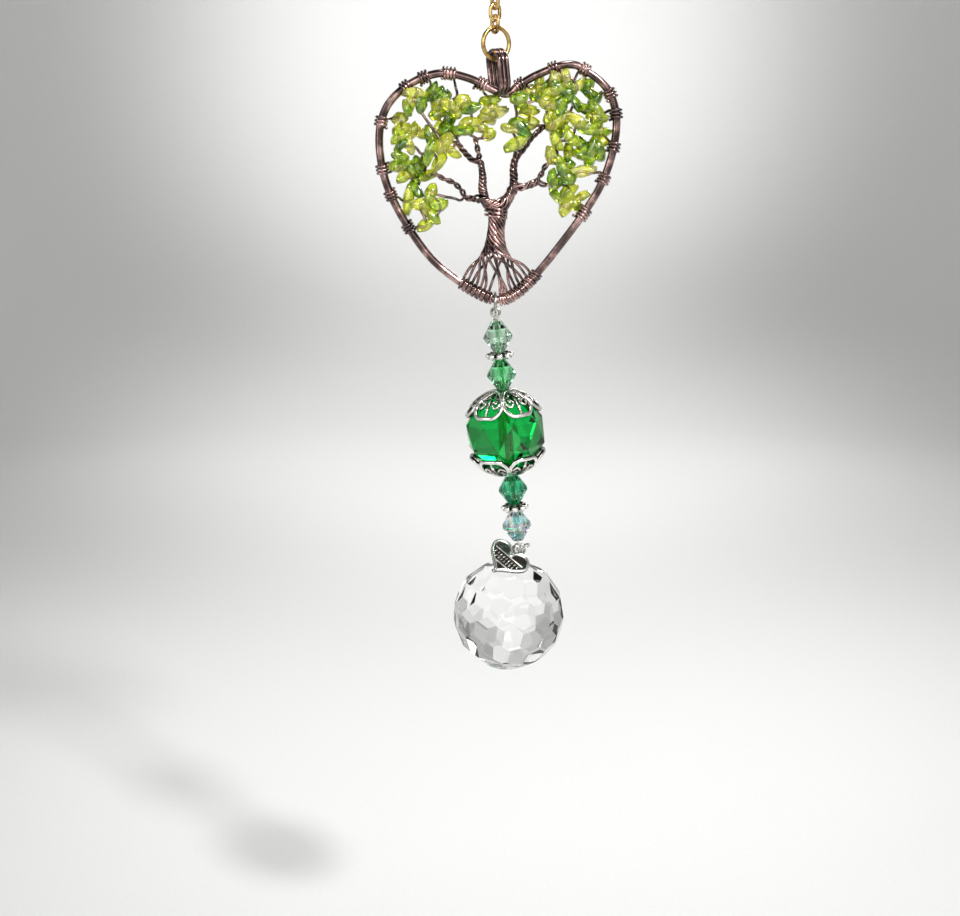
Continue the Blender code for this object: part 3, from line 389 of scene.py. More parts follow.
def smooth_line(points, step):
    """A smooth line through the points, in steps of about that length."""
    last = len(points) - 1
    headings = []
    for index in range(last + 1):
        headings.append((points[min(index + 1, last)] - points[max(index - 1, 0)]).normalized())
    line = [points[0]]
    for index in range(last):
        start, end = points[index], points[index + 1]
        length = (end - start).length
        leave, arrive = headings[index] * length, headings[index + 1] * length
        count = max(1, round(length / step))
        for number in range(1, count + 1):
            share = number / count
            square, cube = share ** 2, share ** 3
            line.append(
                start * (2 * cube - 3 * square + 1) + leave * (cube - 2 * square + share)
                + end * (3 * square - 2 * cube) + arrive * (cube - square)
            )
    return line


def smooth_loop(points, steps):
    """A smooth closed line through the points, as in the CAD."""
    line = []
    count = len(points)
    for index in range(count):
        before, start, end, after = (points[(index + shift) % count] for shift in (-1, 0, 1, 2))
        for number in range(steps):
            share = number / steps
            cubic = start * 3 - before - end * 3 + after
            square = before * 2 - start * 5 + end * 4 - after
            line.append((start * 2 + (end - before) * share + square * share ** 2 + cubic * share ** 3) / 2)
    return line


def ring_line(radius, steps=40, share=1.0, start=0.0):
    """Points of a flat ring, or of a share of it, in the XY plane."""
    turns = [start + 2 * math.pi * share * step / steps for step in range(steps + (share < 1))]
    return [Vector((radius * math.cos(turn), radius * math.sin(turn), 0)) for turn in turns]


def link_line(width, height, steps=14):
    """A round-ended loop that stands in the XZ plane."""
    radius = width / 2
    rise = height / 2 - radius
    line = []
    for end in (1, -1):
        for step in range(steps + (rise > 0)):
            turn = math.pi * step / steps
            line.append(Vector((end * radius * math.cos(turn), 0, end * (rise + radius * math.sin(turn)))))
    return line


def upright_ring(name, node, width, height, gauge, turn, finish, slot):
    """A closed ring or link that hangs where its CAD node does."""
    mesh = drawn_wire([link_line(width - gauge, height - gauge)], gauge, closed=True, sides=12)
    place = Matrix.Translation(box_middle(node)) @ Matrix.Rotation(turn, 4, "Z")
    add_piece(name, placed(mesh, place), finish, slot, node)


class FrameLine:
    """The line of the frame wire, and what is wound on it."""

    def __init__(self):
        self.line = smooth_loop([tree_place(x, z) for x, z in HEART_OUTLINE], OUTLINE_STEPS)
        self.run = [0.0]
        for first, second in zip(self.line, self.line[1:] + self.line[:1]):
            self.run.append(self.run[-1] + (second - first).length)
        self.length = self.run[-1]

    def at(self, distance):
        distance %= self.length
        index = next(number for number in range(len(self.line)) if self.run[number + 1] >= distance)
        start, end = self.line[index], self.line[(index + 1) % len(self.line)]
        share = (distance - self.run[index]) / (self.run[index + 1] - self.run[index])
        return start.lerp(end, share), (end - start).normalized()

    def inward(self, distance):
        heading = self.at(distance)[1]
        return Vector((-heading.z, 0, heading.x))

    def coil(self, start, turns, pitch):
        """Turns of wire round the frame wire, from its inner side over the front."""
        points = []
        for step in range(round(turns * COIL_STEPS) + 1):
            turn = step / COIL_STEPS
            angle = 2 * math.pi * turn
            distance = start + pitch * turn
            out = self.inward(distance) * math.cos(angle) - Vector((0, math.sin(angle), 0))
            points.append(self.at(distance)[0] + out * COIL_REACH)
        return points


def make_bail(finish):
    """Three turns of wire, side by side, that hang the heart from the brass ring."""
    loop = link_line(BAIL_DEPTH - BAIL_GAUGE, BAIL_HEIGHT - BAIL_GAUGE, BAIL_END_STEPS)
    count = len(loop)
    line = []
    for step in range(count * BAIL_TURNS - BAIL_OPEN_STEPS):
        shift = (step / count - BAIL_TURNS / 2) * BAIL_PITCH
        point = loop[(step + count * 3 // 4) % count]
        swell = 1 + BAIL_WAVER * math.sin(step * BAIL_WAVER_STEP)
        line.append(Vector((point.x * swell, shift, point.z - BAIL_HEIGHT / 2)))
    turn = Matrix.Rotation(RING_TURN - math.pi / 2, 4, "Z")
    place = Matrix.Translation(BAIL_TOP) @ Matrix.Rotation(-BAIL_LEAN, 4, "Y") @ turn
    add_piece("bail_turns", placed(drawn_wire([line], BAIL_GAUGE, sides=14), place), finish, "copper", "bail")


# Tree

def bundle_controls(wire, limbs):
    """The way of a wire up the trunk and along its limbs: middle of the bundle, reach of the strand, its
    angle within the bundle, and how long one twist is."""
    ring, turn = divmod(wire - 1, TRUNK_INNER)
    outer = turn < TRUNK_INNER - 1
    place = (wire - 1 - ring) / TRUNK_OUTER if outer else ring / TRUNK_INNER + TRUNK_INNER_TURN
    angle = 2 * math.pi * place
    controls = []
    for x, z, width in TRUNK:
        reach = (width * MM - TREE_GAUGE) / 2 * (1.0 if outer else TRUNK_INNER_REACH)
        controls.append((tree_place(x, z), reach, angle, TRUNK_TWIST))
    for limb in limbs:
        members, middles = LIMBS[limb]
        wanted = 2 * math.pi * members.index(wire) / len(members)
        angle += (wanted - angle + math.pi) % (2 * math.pi) - math.pi
        for x, z, reach in middles:
            controls.append((tree_place(x, z), reach * MM, angle, LIMB_TWIST))
    return controls


def bundle_line(controls):
    """Points of one strand, which turns round the middle of its bundle as it goes."""
    middles = smooth_line([control[0] for control in controls], STRAND_STEP)
    points = []
    twist = 0.0
    part = 0
    for index, middle in enumerate(middles):
        if part < len(controls) - 2 and (middle - controls[part + 1][0]).length < SAME_PLACE:
            part += 1
        here, following = controls[part], controls[part + 1]
        span = (following[0] - here[0]).length
        share = min(1.0, (middle - here[0]).length / span)
        reach, angle, pitch = (here[item] + (following[item] - here[item]) * share for item in (1, 2, 3))
        heading = (middles[min(index + 1, len(middles) - 1)] - middles[max(index - 1, 0)]).normalized()
        aside = Vector((heading.z, 0, -heading.x))
        if index:
            twist += 2 * math.pi * (middle - middles[index - 1]).length / pitch
        turn = angle + twist
        points.append(middle + aside * reach * math.cos(turn) + Vector((0, -reach * math.sin(turn), 0)))
    return points


def root_places(line):
    """Where each root is wound on the frame, from left to right, leaving the middle free for the link."""
    places = []
    rights = len(STRINGS) - ROOTS_LEFT
    for (first, last), count in ((ROOT_SPAN_LEFT, ROOTS_LEFT), (ROOT_SPAN_RIGHT, rights)):
        for number in range(count):
            places.append(line.length * (first + (last - first) * number / count) / 100)
    return places


def root_line(line, distance, top, heading):
    """A root from the bottom of the trunk to the frame, ending in turns round it."""
    coil = line.coil(distance, ROOT_TURNS, ROOT_PITCH)
    foot = coil[0] + line.inward(distance) * ROOT_LIFT
    span = (top - foot).length
    leave = top + heading * span * ROOT_LEAVE
    arrive = foot + (line.inward(distance) + Vector((0, 0, 0.5))) * span * ROOT_ARRIVE
    points = []
    for step in range(1, ROOT_STEPS):
        share = step / ROOT_STEPS
        rest = 1 - share
        near_top = top * rest ** 3 + leave * 3 * rest ** 2 * share
        near_foot = arrive * 3 * rest * share ** 2 + foot * share ** 3
        points.append(near_top + near_foot)
    return points + coil


def wrap_line(line, share, turns, arriving, draw):
    """Turns at the far end of a tree wire, with the snipped end standing a little off the frame."""
    middle = line.length * share / 100
    half = WRAP_PITCH * turns / 2
    left, right = (line.at(middle + half * way)[0] - arriving for way in (-1, 1))
    onward = 1 if left.length < right.length else -1
    first = middle - onward * half
    coil = line.coil(first, turns + draw.uniform(*WRAP_SPARE), onward * WRAP_PITCH)
    approach = coil[0].lerp(arriving, 0.35) + Vector((0, 0.2 * MM, 0))
    onto = (coil[-1] - coil[-2]).normalized() * SNIP_LENGTH
    snip = coil[-1] + onto + line.inward(first) * draw.uniform(*SNIP_LIFT) * MM
    return [approach] + coil + [snip]


def stone_way(places, side):
    return [tree_place(place[0], place[1], side * STRING_DEPTH) for place in places]


def crossed_order(strands):
    """The strands from left to right at the foot of the trunk, each two neighbours crossed over."""
    middle = tree_place(*TRUNK[0][:2])

    def leaning(number):
        place = strands[number][0] - middle
        return place.x * math.cos(TRUNK_SWING) - place.y * math.sin(TRUNK_SWING)

    order = sorted(range(len(strands)), key=leaning)
    for number in range(0, len(order) - 1, 2):
        order[number], order[number + 1] = order[number + 1], order[number]
    return order


def make_tree(line, finish):
    """Sixteen wires, each wound on the frame below, up the trunk, along a limb, through its stones and round
    the frame above, and a binding round the trunk."""
    draw = random.Random(4)
    strands = [bundle_line(bundle_controls(wire, string[0])) for wire, string in enumerate(STRINGS, 1)]
    lines = []
    for foot, number in zip(root_places(line), crossed_order(strands)):
        strand = strands[number]
        heading = (strand[0] - strand[2]).normalized()
        roots = root_line(line, foot, strand[0], heading)
        _, side, share, turns, places = STRINGS[number]
        way = stone_way(places, side)
        whole = roots[::-1] + strand + way + wrap_line(line, share, turns, way[-1], draw)
        lines.append(smooth_line(whole, WIRE_STEP))
    lines.append(smooth_line(binding_line(), WIRE_STEP))
    add_piece("tree_wires", drawn_wire(lines, TREE_GAUGE), finish, "copper", "wire_tree")


def binding_line():
    """A wire wound round the top of the trunk, where the left limb leaves it."""
    middle = tree_place(*BINDING_MIDDLE)
    steps = round(BINDING_TURNS * COIL_STEPS)
    points = []
    for step in range(steps + 1):
        turn = 2 * math.pi * step / COIL_STEPS
        rise = BINDING_TOP - BINDING_FALL * step / steps - BINDING_SLANT * math.cos(turn)
        across = Vector((math.cos(turn), -BINDING_FLATNESS * math.sin(turn), 0)) * BINDING_REACH
        points.append(middle + across + Vector((0, 0, rise)))
    return points


def tumbled_stone(draw, size):
    """A chip of stone, its corners worn round in the tumbler."""
    form = bmesh.new()
    bmesh.ops.create_icosphere(form, subdivisions=1, radius=1.0)
    for corner in form.verts:
        corner.co *= draw.uniform(*STONE_CORNERS)
    bmesh.ops.subdivide_edges(form, edges=form.edges, cuts=3, use_grid_fill=True)
    for _ in range(2):
        bmesh.ops.smooth_vert(
            form, verts=form.verts, factor=0.5, use_axis_x=True, use_axis_y=True, use_axis_z=True
        )
    long_way = draw.uniform(*STONE_LONG) * size * STONE_GROWTH
    broad_way = draw.uniform(*STONE_BROAD) * (1 + (size - 1) * 0.2) * STONE_GROWTH
    thin_way = draw.uniform(*STONE_THIN) * STONE_GROWTH
    bmesh.ops.scale(form, verts=form.verts, vec=Vector((long_way, broad_way, thin_way)) * MM)
    return finished_mesh(form)


def either_way(draw, reach):
    """A random measure up to the reach, either way."""
    return draw.uniform(-reach, reach)


def stone_place(draw, before, middle, after, angle):
    """The matrix that threads a stone on its wire, turned its long way."""
    along = (after - before).normalized()
    if angle is None:
        angle = math.degrees(math.atan2(along.z, along.x)) + 90 + either_way(draw, STONE_LEAN)
    lean = math.radians(angle)
    long_way = Vector((math.cos(lean), either_way(draw, STONE_TILT), math.sin(lean))).normalized()
    if draw.random() < 0.5:
        long_way.negate()
    broad = Vector((0, 1, 0)) + along * either_way(draw, STONE_ROLL)
    broad += Vector((0, 0, 1)) * either_way(draw, STONE_ROLL)
    thin = long_way.cross(broad).normalized()
    broad = thin.cross(long_way)
    shift = Vector([either_way(draw, reach) for reach in STONE_SHIFT]) * MM
    return Matrix.Translation(middle + shift) @ Matrix((long_way, broad, thin)).transposed().to_4x4()


def make_stones(finish):
    """One piece for each string of stones. Each stone carries its own tint."""
    draw = random.Random(23)
    for number, string in enumerate(STRINGS, 1):
        side, places = string[1], string[-1]
        way = stone_way(places, side)
        form = bmesh.new()
        tint = form.verts.layers.float.new("tint")
        for index, place in enumerate(places):
            size = place[2] if len(place) > 2 else 1.0
            if not size:
                continue
            before, after = way[max(index - 1, 0)], way[min(index + 1, len(way) - 1)]
            angle = place[3] if len(place) > 3 else None
            stone = tumbled_stone(draw, size)
            stone.transform(stone_place(draw, before, way[index], after, angle))
            count = len(form.verts)
            form.from_mesh(stone)
            bpy.data.meshes.remove(stone)
            shade = draw.random()
            form.verts.ensure_lookup_table()
            for corner in form.verts[count:]:
                corner[tint] = shade
        mesh = finished_mesh(form)
        add_piece(f"stones_{number:02d}", mesh, finish, "peridot", f"stone_string_{number:02d}")


# Beads

def cut_glass(rows, hole=0.0, edge=0.05 * MM):
    """Cut glass: the flat faces over rows of corners, with narrow polished edges and a hole along its axis.
    A row is its number of corners, its reach and height, and how far it is turned."""
    form = bmesh.new()
    for count, reach, height, turn in rows:
        place = Matrix.Translation((0, 0, height)) @ Matrix.Rotation(turn, 4, "Z")
        bmesh.ops.create_circle(form, segments=count, radius=reach, matrix=place)
    made = bmesh.ops.convex_hull(form, input=form.verts)
    spare = only(made["geom_interior"] + made["geom_unused"], bmesh.types.BMVert)
    bmesh.ops.delete(form, geom=list(set(spare)), context="VERTS")
    bmesh.ops.delete(form, geom=[side for side in form.edges if not side.link_faces], context="EDGES")
    bmesh.ops.dissolve_limit(form, angle_limit=math.radians(1), verts=form.verts, edges=form.edges)
    soft_edges(form, edge)
    if hole:
        drill(form, hole)
    return finished_mesh(form, smooth=False)


def drill(form, hole):
    """Opens a hole between the top face and the bottom face of a bead."""
    form.faces.ensure_lookup_table()
    form.normal_update()
    ends = [max(form.faces, key=lambda face: face.calc_center_median().z * sign) for sign in (1, -1)]
    reach = max(math.hypot(corner.co.x, corner.co.y) for corner in ends[0].verts)
    bmesh.ops.inset_individual(form, faces=ends, thickness=(reach - hole) * BORE_INSET, use_even_offset=True)
    sides = [side for end in ends for side in end.edges]
    bmesh.ops.delete(form, geom=ends, context="FACES_ONLY")
    bmesh.ops.bridge_loops(form, edges=sides)


def bicone_mesh():
    """Two cut cones base to base, every second face of the waist a narrow one."""
    end_reach, end_height = (size * MM for size in BICONE_END)
    waist_reach, waist_height = (size * MM for size in BICONE_WAIST)
    turn = math.pi / 12
    rows = [
        (6, end_reach, end_height, 0), (12, waist_reach, waist_height, turn),
        (12, waist_reach, -waist_height, turn), (6, end_reach, -end_height, 0),
    ]
    return cut_glass(rows, hole=0.62 * MM, edge=0.06 * MM)


def green_bead_mesh():
    """A bead with six rows of corners, each row turned half a side from the next."""
    rows = []
    for number, (reach, height) in enumerate(GREEN_ROWS):
        turn = math.pi / GREEN_SIDES * (number % 2) + GREEN_TURN
        rows.append((GREEN_SIDES, reach * MM, height * MM, turn))
    return cut_glass(rows, hole=1.2 * MM, edge=0.08 * MM)


def cap_height(reach):
    """The height of a cap's inner side over the middle of the bead."""
    for (near, high), (far, low) in zip(CAP_PROFILE, CAP_PROFILE[1:]):
        if reach <= far:
            return (high + (low - high) * (reach - near) / (far - near)) * MM
    return CAP_PROFILE[-1][1] * MM


def on_cap(out, aside, lift, petal):
    """A place on a cap, measured out from the hole along a petal and to its side, in millimetres."""
    turn = petal * math.pi * 2 / CAP_PETALS
    x = out * math.cos(turn) - aside * math.sin(turn)
    y = out * math.sin(turn) + aside * math.cos(turn)
    return Vector((x, y, 0)) * MM + Vector((0, 0, cap_height(math.hypot(out, aside)) + lift * MM))


def petal_outline(petal):
    """The bold closed outline of a petal."""
    outline = PETAL_HALF + [(out, -aside) for out, aside in reversed(PETAL_HALF)]
    return smooth_loop([on_cap(out, aside, PETAL_LIFT, petal) for out, aside in outline], 3)


def petal_curl(petal, side):
    """A curl on one side of a petal's stem, with its tail towards the hole."""
    line = [on_cap(out, side * aside, lift, petal) for out, aside, lift in CURL_TAIL]
    middle_out, middle_aside = CURL_MIDDLE
    for step in range(CURL_STEPS + 1):
        share = step / CURL_STEPS
        turn = math.radians(CURL_START - CURL_SWEEP * share)
        reach = CURL_REACH - CURL_CLOSING * share
        out = middle_out + reach * math.cos(turn)
        aside = middle_aside + reach * CURL_FLATNESS * math.sin(turn)
        line.append(on_cap(out, side * aside, CURL_LIFT, petal))
    return smooth_line(line, 0.4 * MM)


def wear_and_painted_shade(mesh, share_at):
    """Notes on each corner a value from 0 in the hollows, painted dark as tarnish and shade, to 1 on top,
    rubbed bright.
    """
    layer = mesh.attributes.new("wear_and_painted_shade", "FLOAT", "POINT")
    for corner, note in zip(mesh.vertices, layer.data):
        note.value = min(1.0, max(0.0, share_at(corner.co)))
    return mesh


def small_ball(middle, radius):
    form = bmesh.new()
    bmesh.ops.create_icosphere(form, subdivisions=2, radius=radius)
    bmesh.ops.translate(form, verts=form.verts, vec=middle)
    return finished_mesh(form)


def cap_mesh():
    """A filigree cap: a ring round the hole and six petals of wire scrolls that follow the bead."""
    outlines, scrolls, balls = [], [], []
    for petal in range(CAP_PETALS):
        outlines.append(petal_outline(petal))
        balls.append(small_ball(on_cap(8.4, 0, PETAL_LIFT, petal), 0.55 * MM))
        for side in (1, -1):
            scrolls.append(petal_curl(petal, side))
            out, aside = CURL_MIDDLE
            balls.append(small_ball(on_cap(out, side * aside, 0.4, petal), 0.42 * MM))
        scrolls.append([on_cap(out, aside, 0.3, petal) for out, aside in PETAL_STEM])
    ring = [point + Vector((0, 0, 11.05 * MM)) for point in ring_line(2.0 * MM)]
    meshes = [
        drawn_wire(outlines, PETAL_GAUGE, closed=True), drawn_wire(scrolls, SCROLL_GAUGE),
        drawn_wire([ring], 0.9 * MM, closed=True),
    ]

    def lift_share(place):
        lift = place.z - cap_height(place.xy.length / MM)
        return (lift - 0.2 * MM) / (0.85 * MM)

    # The note is the wire's height over the bead. Low undersides get painted shade as well as tarnish.
    return wear_and_painted_shade(joined(meshes + balls), lift_share)


def spacer_mesh():
    """A flat ring of small balls round a core of wire."""
    balls = []
    for number in range(SPACER_BALLS):
        turn = 2 * math.pi * number / SPACER_BALLS
        outward = Vector((math.cos(turn), math.sin(turn), 0))
        balls.append(small_ball(outward * 2.9 * MM, 0.92 * MM))
        balls.append(small_ball(outward * 3.6 * MM, 0.2 * MM))
    core = drawn_wire([ring_line(1.75 * MM)], 1.1 * MM, closed=True, sides=12)
    # The note grows outward from the core. The inner sides of the balls get painted shade as well as tarnish.
    return wear_and_painted_shade(joined(balls + [core]), lambda place: (place.xy.length - 2.2 * MM) / (1.3 * MM))


def collar_line(neck):
    """Two turns of fine wire round the neck of the pin's loop."""
    points = []
    for step in range(COLLAR_STEPS + 1):
        turn = step / 2
        rise = COLLAR_HEIGHT * (2 * step / COLLAR_STEPS - 0.5)
        points.append(neck + Vector((COLLAR_REACH * math.cos(turn), COLLAR_REACH * math.sin(turn), rise)))
    return points


def make_pin(finish):
    """A wire with a round loop at its top and a larger eye at its foot."""
    down = Vector((math.sin(PIN_TILT), 0, -math.cos(PIN_TILT)))
    line = []
    for distance, radius, upper in ((0.0, PIN_LOOP, True), (EYE_DISTANCE, PIN_EYE, False)):
        middle = PIN_TOP + down * distance
        place = on_pin(middle) @ Matrix.Rotation(math.pi / 2, 4, "X")
        loop = ring_line(radius, 26, PIN_CLOSED, start=-math.pi / 2 if upper else math.pi / 2)
        turns = [place @ point for point in loop]
        line += turns[::-1] if upper else turns
    mesh = drawn_wire([line], PIN_GAUGE, sides=10)
    neck = PIN_TOP + down * (PIN_LOOP + COLLAR_DROP)
    collar = drawn_wire([collar_line(neck)], COLLAR_GAUGE)
    add_piece("pin_wire", joined([mesh, collar]), finish, "silver", "eye_pin")


# Ball and charm

def ball_mesh():
    """A ball cut flat by rows of facets, each row turned half a facet from the one above."""
    form = bmesh.new()
    bmesh.ops.create_icosphere(form, subdivisions=3, radius=BALL_RADIUS * 1.4)
    facings = [Vector((0, 0, 1)), Vector((0, 0, -1))]
    for row, (angle, count) in enumerate(BALL_ROWS, 1):
        tilt = math.radians(angle)
        for step in range(count):
            turn = 2 * math.pi * (step + 0.5 * (row % 2)) / count
            across = math.sin(tilt)
            facings.append(Vector((across * math.cos(turn), across * math.sin(turn), math.cos(tilt))))
    for facing in facings:
        made = bmesh.ops.bisect_plane(
            form, geom=form.verts[:] + form.edges[:] + form.faces[:],
            plane_co=facing * BALL_RADIUS * BALL_FACET_REACH, plane_no=facing, clear_outer=True,
        )
        cut = only(made["geom_cut"], bmesh.types.BMEdge)
        if cut:
            bmesh.ops.holes_fill(form, edges=cut)
    bmesh.ops.remove_doubles(form, verts=form.verts, dist=0.02 * MM)
    soft_edges(form, 0.07 * MM)
    return finished_mesh(form, smooth=False)


def heart_corner(turn, width, height):
    """A corner of the charm's outline: dip towards +Y, point towards -Y."""
    x = math.sin(turn) ** 3
    y = (13 * math.cos(turn) - 5 * math.cos(2 * turn) - 2 * math.cos(3 * turn) - math.cos(4 * turn)) / 29
    return Vector((x * width / 2, (y + 0.09) * height, 0))


def charm_bar(length, width, height, place, angle):
    """A raised bar with soft edges, standing on the charm's hollow face."""
    form = bmesh.new()
    bmesh.ops.create_cube(form, size=1.0)
    bmesh.ops.scale(form, verts=form.verts, vec=Vector((length, width, height)) * MM)
    soft_edges(form, 0.09 * MM, segments=2)
    turn = Matrix.Translation(Vector((*place, 0)) * MM + Vector((0, 0, CHARM_THICKNESS - 0.22 * MM)))
    bmesh.ops.transform(form, verts=form.verts, matrix=turn @ Matrix.Rotation(math.radians(angle), 4, "Z"))
    return finished_mesh(form)


def charm_mesh():
    """A heart with a raised rim, two ridges, and between them a band of plain raised strokes."""
    form = bmesh.new()
    bmesh.ops.create_circle(form, cap_ends=True, segments=CHARM_CORNERS, radius=CHARM_WIDTH / 2)
    form.verts.ensure_lookup_table()
    for number, corner in enumerate(form.verts):
        corner.co = heart_corner(2 * math.pi * (number + 0.5) / CHARM_CORNERS, CHARM_WIDTH, CHARM_HEIGHT)
    made = bmesh.ops.extrude_face_region(form, geom=form.faces[:])
    top = only(made["geom"], bmesh.types.BMFace)
    raised = only(made["geom"], bmesh.types.BMVert)
    bmesh.ops.translate(form, verts=raised, vec=Vector((0, 0, CHARM_THICKNESS)))
    bmesh.ops.recalc_face_normals(form, faces=form.faces)
    bmesh.ops.inset_region(form, faces=top, thickness=CHARM_RIM, depth=0.0, use_even_offset=True)
    bmesh.ops.inset_region(form, faces=top, thickness=0.14 * MM, depth=-CHARM_HOLLOW, use_even_offset=True)
    meshes = [finished_mesh(form)]
    for level in (-1.75, 1.75):
        meshes.append(charm_bar(9.4 - abs(level - 1.75) * 0.75, 0.42, 0.5, (0, level), 0))
    for row in (-0.62, 0.62):
        for number in range(STROKE_COUNT):
            meshes.append(charm_bar(0.78, 0.27, 0.42, (-3.7 + number * STROKE_PITCH, row), STROKE_LEAN))
    lug_place = Vector((0, 0.37 * CHARM_HEIGHT + CHARM_LUG, CHARM_THICKNESS / 2))
    lug = [point + lug_place for point in ring_line(CHARM_LUG)]
    meshes.append(drawn_wire([lug], 0.6 * MM, closed=True))
    # The note falls from the rim down into the hollow face, which gets painted shade as well as tarnish.
    return wear_and_painted_shade(joined(meshes), lambda place: 1.0 + (place.z - CHARM_THICKNESS) / (0.6 * MM))


def make_charm(carved, finish):
    facing = CHARM_FACING.normalized()
    turn = Matrix((CHARM_RIGHT, CHARM_UP, facing)).transposed().to_4x4()
    mesh = placed(charm_mesh(), Matrix.Translation(CHARM_BACK) @ turn)
    add_piece("charm", mesh, carved, "silver", "heart_charm")
    ring = drawn_wire([ring_line(1.95 * MM)], 0.5 * MM, closed=True)
    place = turned_to(CHARM_RING_FACING.normalized(), box_middle("charm_ring"))
    add_piece("charm_jump_ring", placed(ring, place), finish, "silver", "charm_ring")


def make_ball(crystal, silver):
    axis = PEG_AXIS.normalized()
    place = turned_to(axis, BALL_MIDDLE)
    add_piece("ball", placed(ball_mesh(), place), crystal, "crystal", "crystal_ball")
    loop = Matrix.Translation(PEG_MIDDLE) @ Matrix.Rotation(math.pi / 2, 4, "Y")
    ring = placed(drawn_wire([ring_line(1.3 * MM)], 0.8 * MM, closed=True, sides=10), loop)
    stem = drawn_wire([[PEG_MIDDLE - axis * 1.3 * MM, PEG_FOOT]], 0.8 * MM, sides=10)
    seat_place = turned_to(axis, BALL_MIDDLE + axis * 14.95 * MM)
    seat = placed(drawn_wire([ring_line(0.7 * MM, 24)], 0.5 * MM, closed=True), seat_place)
    add_piece("peg", joined([ring, stem, seat]), silver, "silver", "ball_peg")


# Finishes

def new_finish(name, **values):
    """A material whose even values are set on the shader itself."""
    finish = bpy.data.materials.new(name)
    finish.use_nodes = True
    shader = finish.node_tree.nodes["Principled BSDF"]
    for value_name, value in values.items():
        socket = shader.inputs[value_name.replace("_", " ")]
        socket.default_value = (*value, 1) if isinstance(value, tuple) else value
    return finish, finish.node_tree, shader


def grain(tree, scale, detail=3.0, rough=0.55):
    """Cloudy variation fixed to the object. The scale is in grains per metre."""
    where = tree.nodes.new("ShaderNodeTexCoord")
    noise = tree.nodes.new("ShaderNodeTexNoise")
    noise.inputs["Scale"].default_value = scale
    noise.inputs["Detail"].default_value = detail
    noise.inputs["Roughness"].default_value = rough
    tree.links.new(where.outputs["Object"], noise.inputs["Vector"])
    return noise.outputs["Fac"]


def stepped(tree, value, stops):
    """Colours at places from 0 to 1 along a value."""
    ramp = tree.nodes.new("ShaderNodeValToRGB")
    band = ramp.color_ramp
    while len(band.elements) < len(stops):
        band.elements.new(0.5)
    for element, (place, colour) in zip(band.elements, stops):
        element.position = place
        element.color = (*colour, 1)
    tree.links.new(value, ramp.inputs["Fac"])
    return ramp.outputs["Color"]


def ranged(tree, value, low, high):
    """A value from 0 to 1 stretched to run from low to high."""
    stretch = tree.nodes.new("ShaderNodeMapRange")
    stretch.inputs["To Min"].default_value = low
    stretch.inputs["To Max"].default_value = high
    tree.links.new(value, stretch.inputs["Value"])
    return stretch.outputs["Result"]


def dented(tree, shader, value, strength, depth):
    """Small dents in the surface, as deep as given in metres."""
    bump = tree.nodes.new("ShaderNodeBump")
    bump.inputs["Strength"].default_value = strength
    bump.inputs["Distance"].default_value = depth
    tree.links.new(value, bump.inputs["Height"])
    tree.links.new(bump.outputs["Normal"], shader.inputs["Normal"])


def metal(name, stops, rough, coarse, depth, **values):
    """Worn metal: its colour runs from tarnished to rubbed bright."""
    finish, tree, shader = new_finish(name, Metallic=1.0, **values)
    tree.links.new(stepped(tree, grain(tree, coarse, 4.0, 0.6), stops), shader.inputs["Base Color"])
    tree.links.new(ranged(tree, grain(tree, coarse * 2.3), *rough), shader.inputs["Roughness"])
    dented(tree, shader, grain(tree, coarse * 3.1, 2.0), 0.35, depth)
    return finish


def added(tree, first, first_share, second, second_share):
    """The sum of two values, each times its share."""
    parts = []
    for value, share in ((first, first_share), (second, second_share)):
        part = tree.nodes.new("ShaderNodeMath")
        part.operation = "MULTIPLY"
        part.inputs[1].default_value = share
        tree.links.new(value, part.inputs[0])
        parts.append(part.outputs["Value"])
    total = tree.nodes.new("ShaderNodeMath")
    total.operation = "ADD"
    for part, socket in zip(parts, total.inputs):
        tree.links.new(part, socket)
    return total.outputs["Value"]


def noted(tree, name):
    """What each corner of the mesh notes under a name."""
    note = tree.nodes.new("ShaderNodeAttribute")
    note.attribute_name = name
    return note.outputs["Fac"]


def carved_silver():
    """Antique silver: black in its hollows, partly tarnish and partly painted shade, bright where it is
    rubbed on top.
    """
    finish, tree, shader = new_finish("carved_silver", Metallic=1.0)
    silver_wear_and_shade = added(tree, noted(tree, "wear_and_painted_shade"), 0.66, grain(tree, 620, 3.0, 0.6), 0.5)
    # Low notes give near-black, which is tarnish and painted shade in the hollows. High notes give rubbed
    # bright silver.
    colour = stepped(tree, silver_wear_and_shade, [
        (0.32, (0.035, 0.032, 0.026)), (0.56, (0.15, 0.14, 0.12)), (0.70, (0.66, 0.65, 0.60)),
        (0.88, (0.97, 0.96, 0.92)),
    ])
    tree.links.new(colour, shader.inputs["Base Color"])
    tree.links.new(ranged(tree, grain(tree, 1300), 0.10, 0.34), shader.inputs["Roughness"])
    dented(tree, shader, grain(tree, 1700, 2.0), 0.35, 0.0001)
    return finish


def glass(name, colour, **values):
    """Clear glass of one colour, with the faintest waves in its polish."""
    finish, tree, shader = new_finish(
        name, Base_Color=colour, Roughness=0.0, Transmission_Weight=1.0, IOR=1.54, **values
    )
    dented(tree, shader, grain(tree, 260, 1.0), 0.05, 0.00002)
    return finish


def rainbow_glass():
    """Clear glass with a thin coating in patches of violet, blue and green."""
    finish = glass("rainbow_coated_glass", (0.9, 0.95, 0.92), Thin_Film_Thickness=420.0, Thin_Film_IOR=2.2)
    tree = finish.node_tree
    colour = stepped(tree, grain(tree, 230, 1.0), [
        (0.36, (0.36, 0.90, 0.90)), (0.46, (0.66, 0.98, 0.76)), (0.54, (0.98, 0.84, 1.0)),
        (0.64, (0.56, 0.34, 0.95)),
    ])
    tree.links.new(colour, tree.nodes["Principled BSDF"].inputs["Base Color"])
    return finish


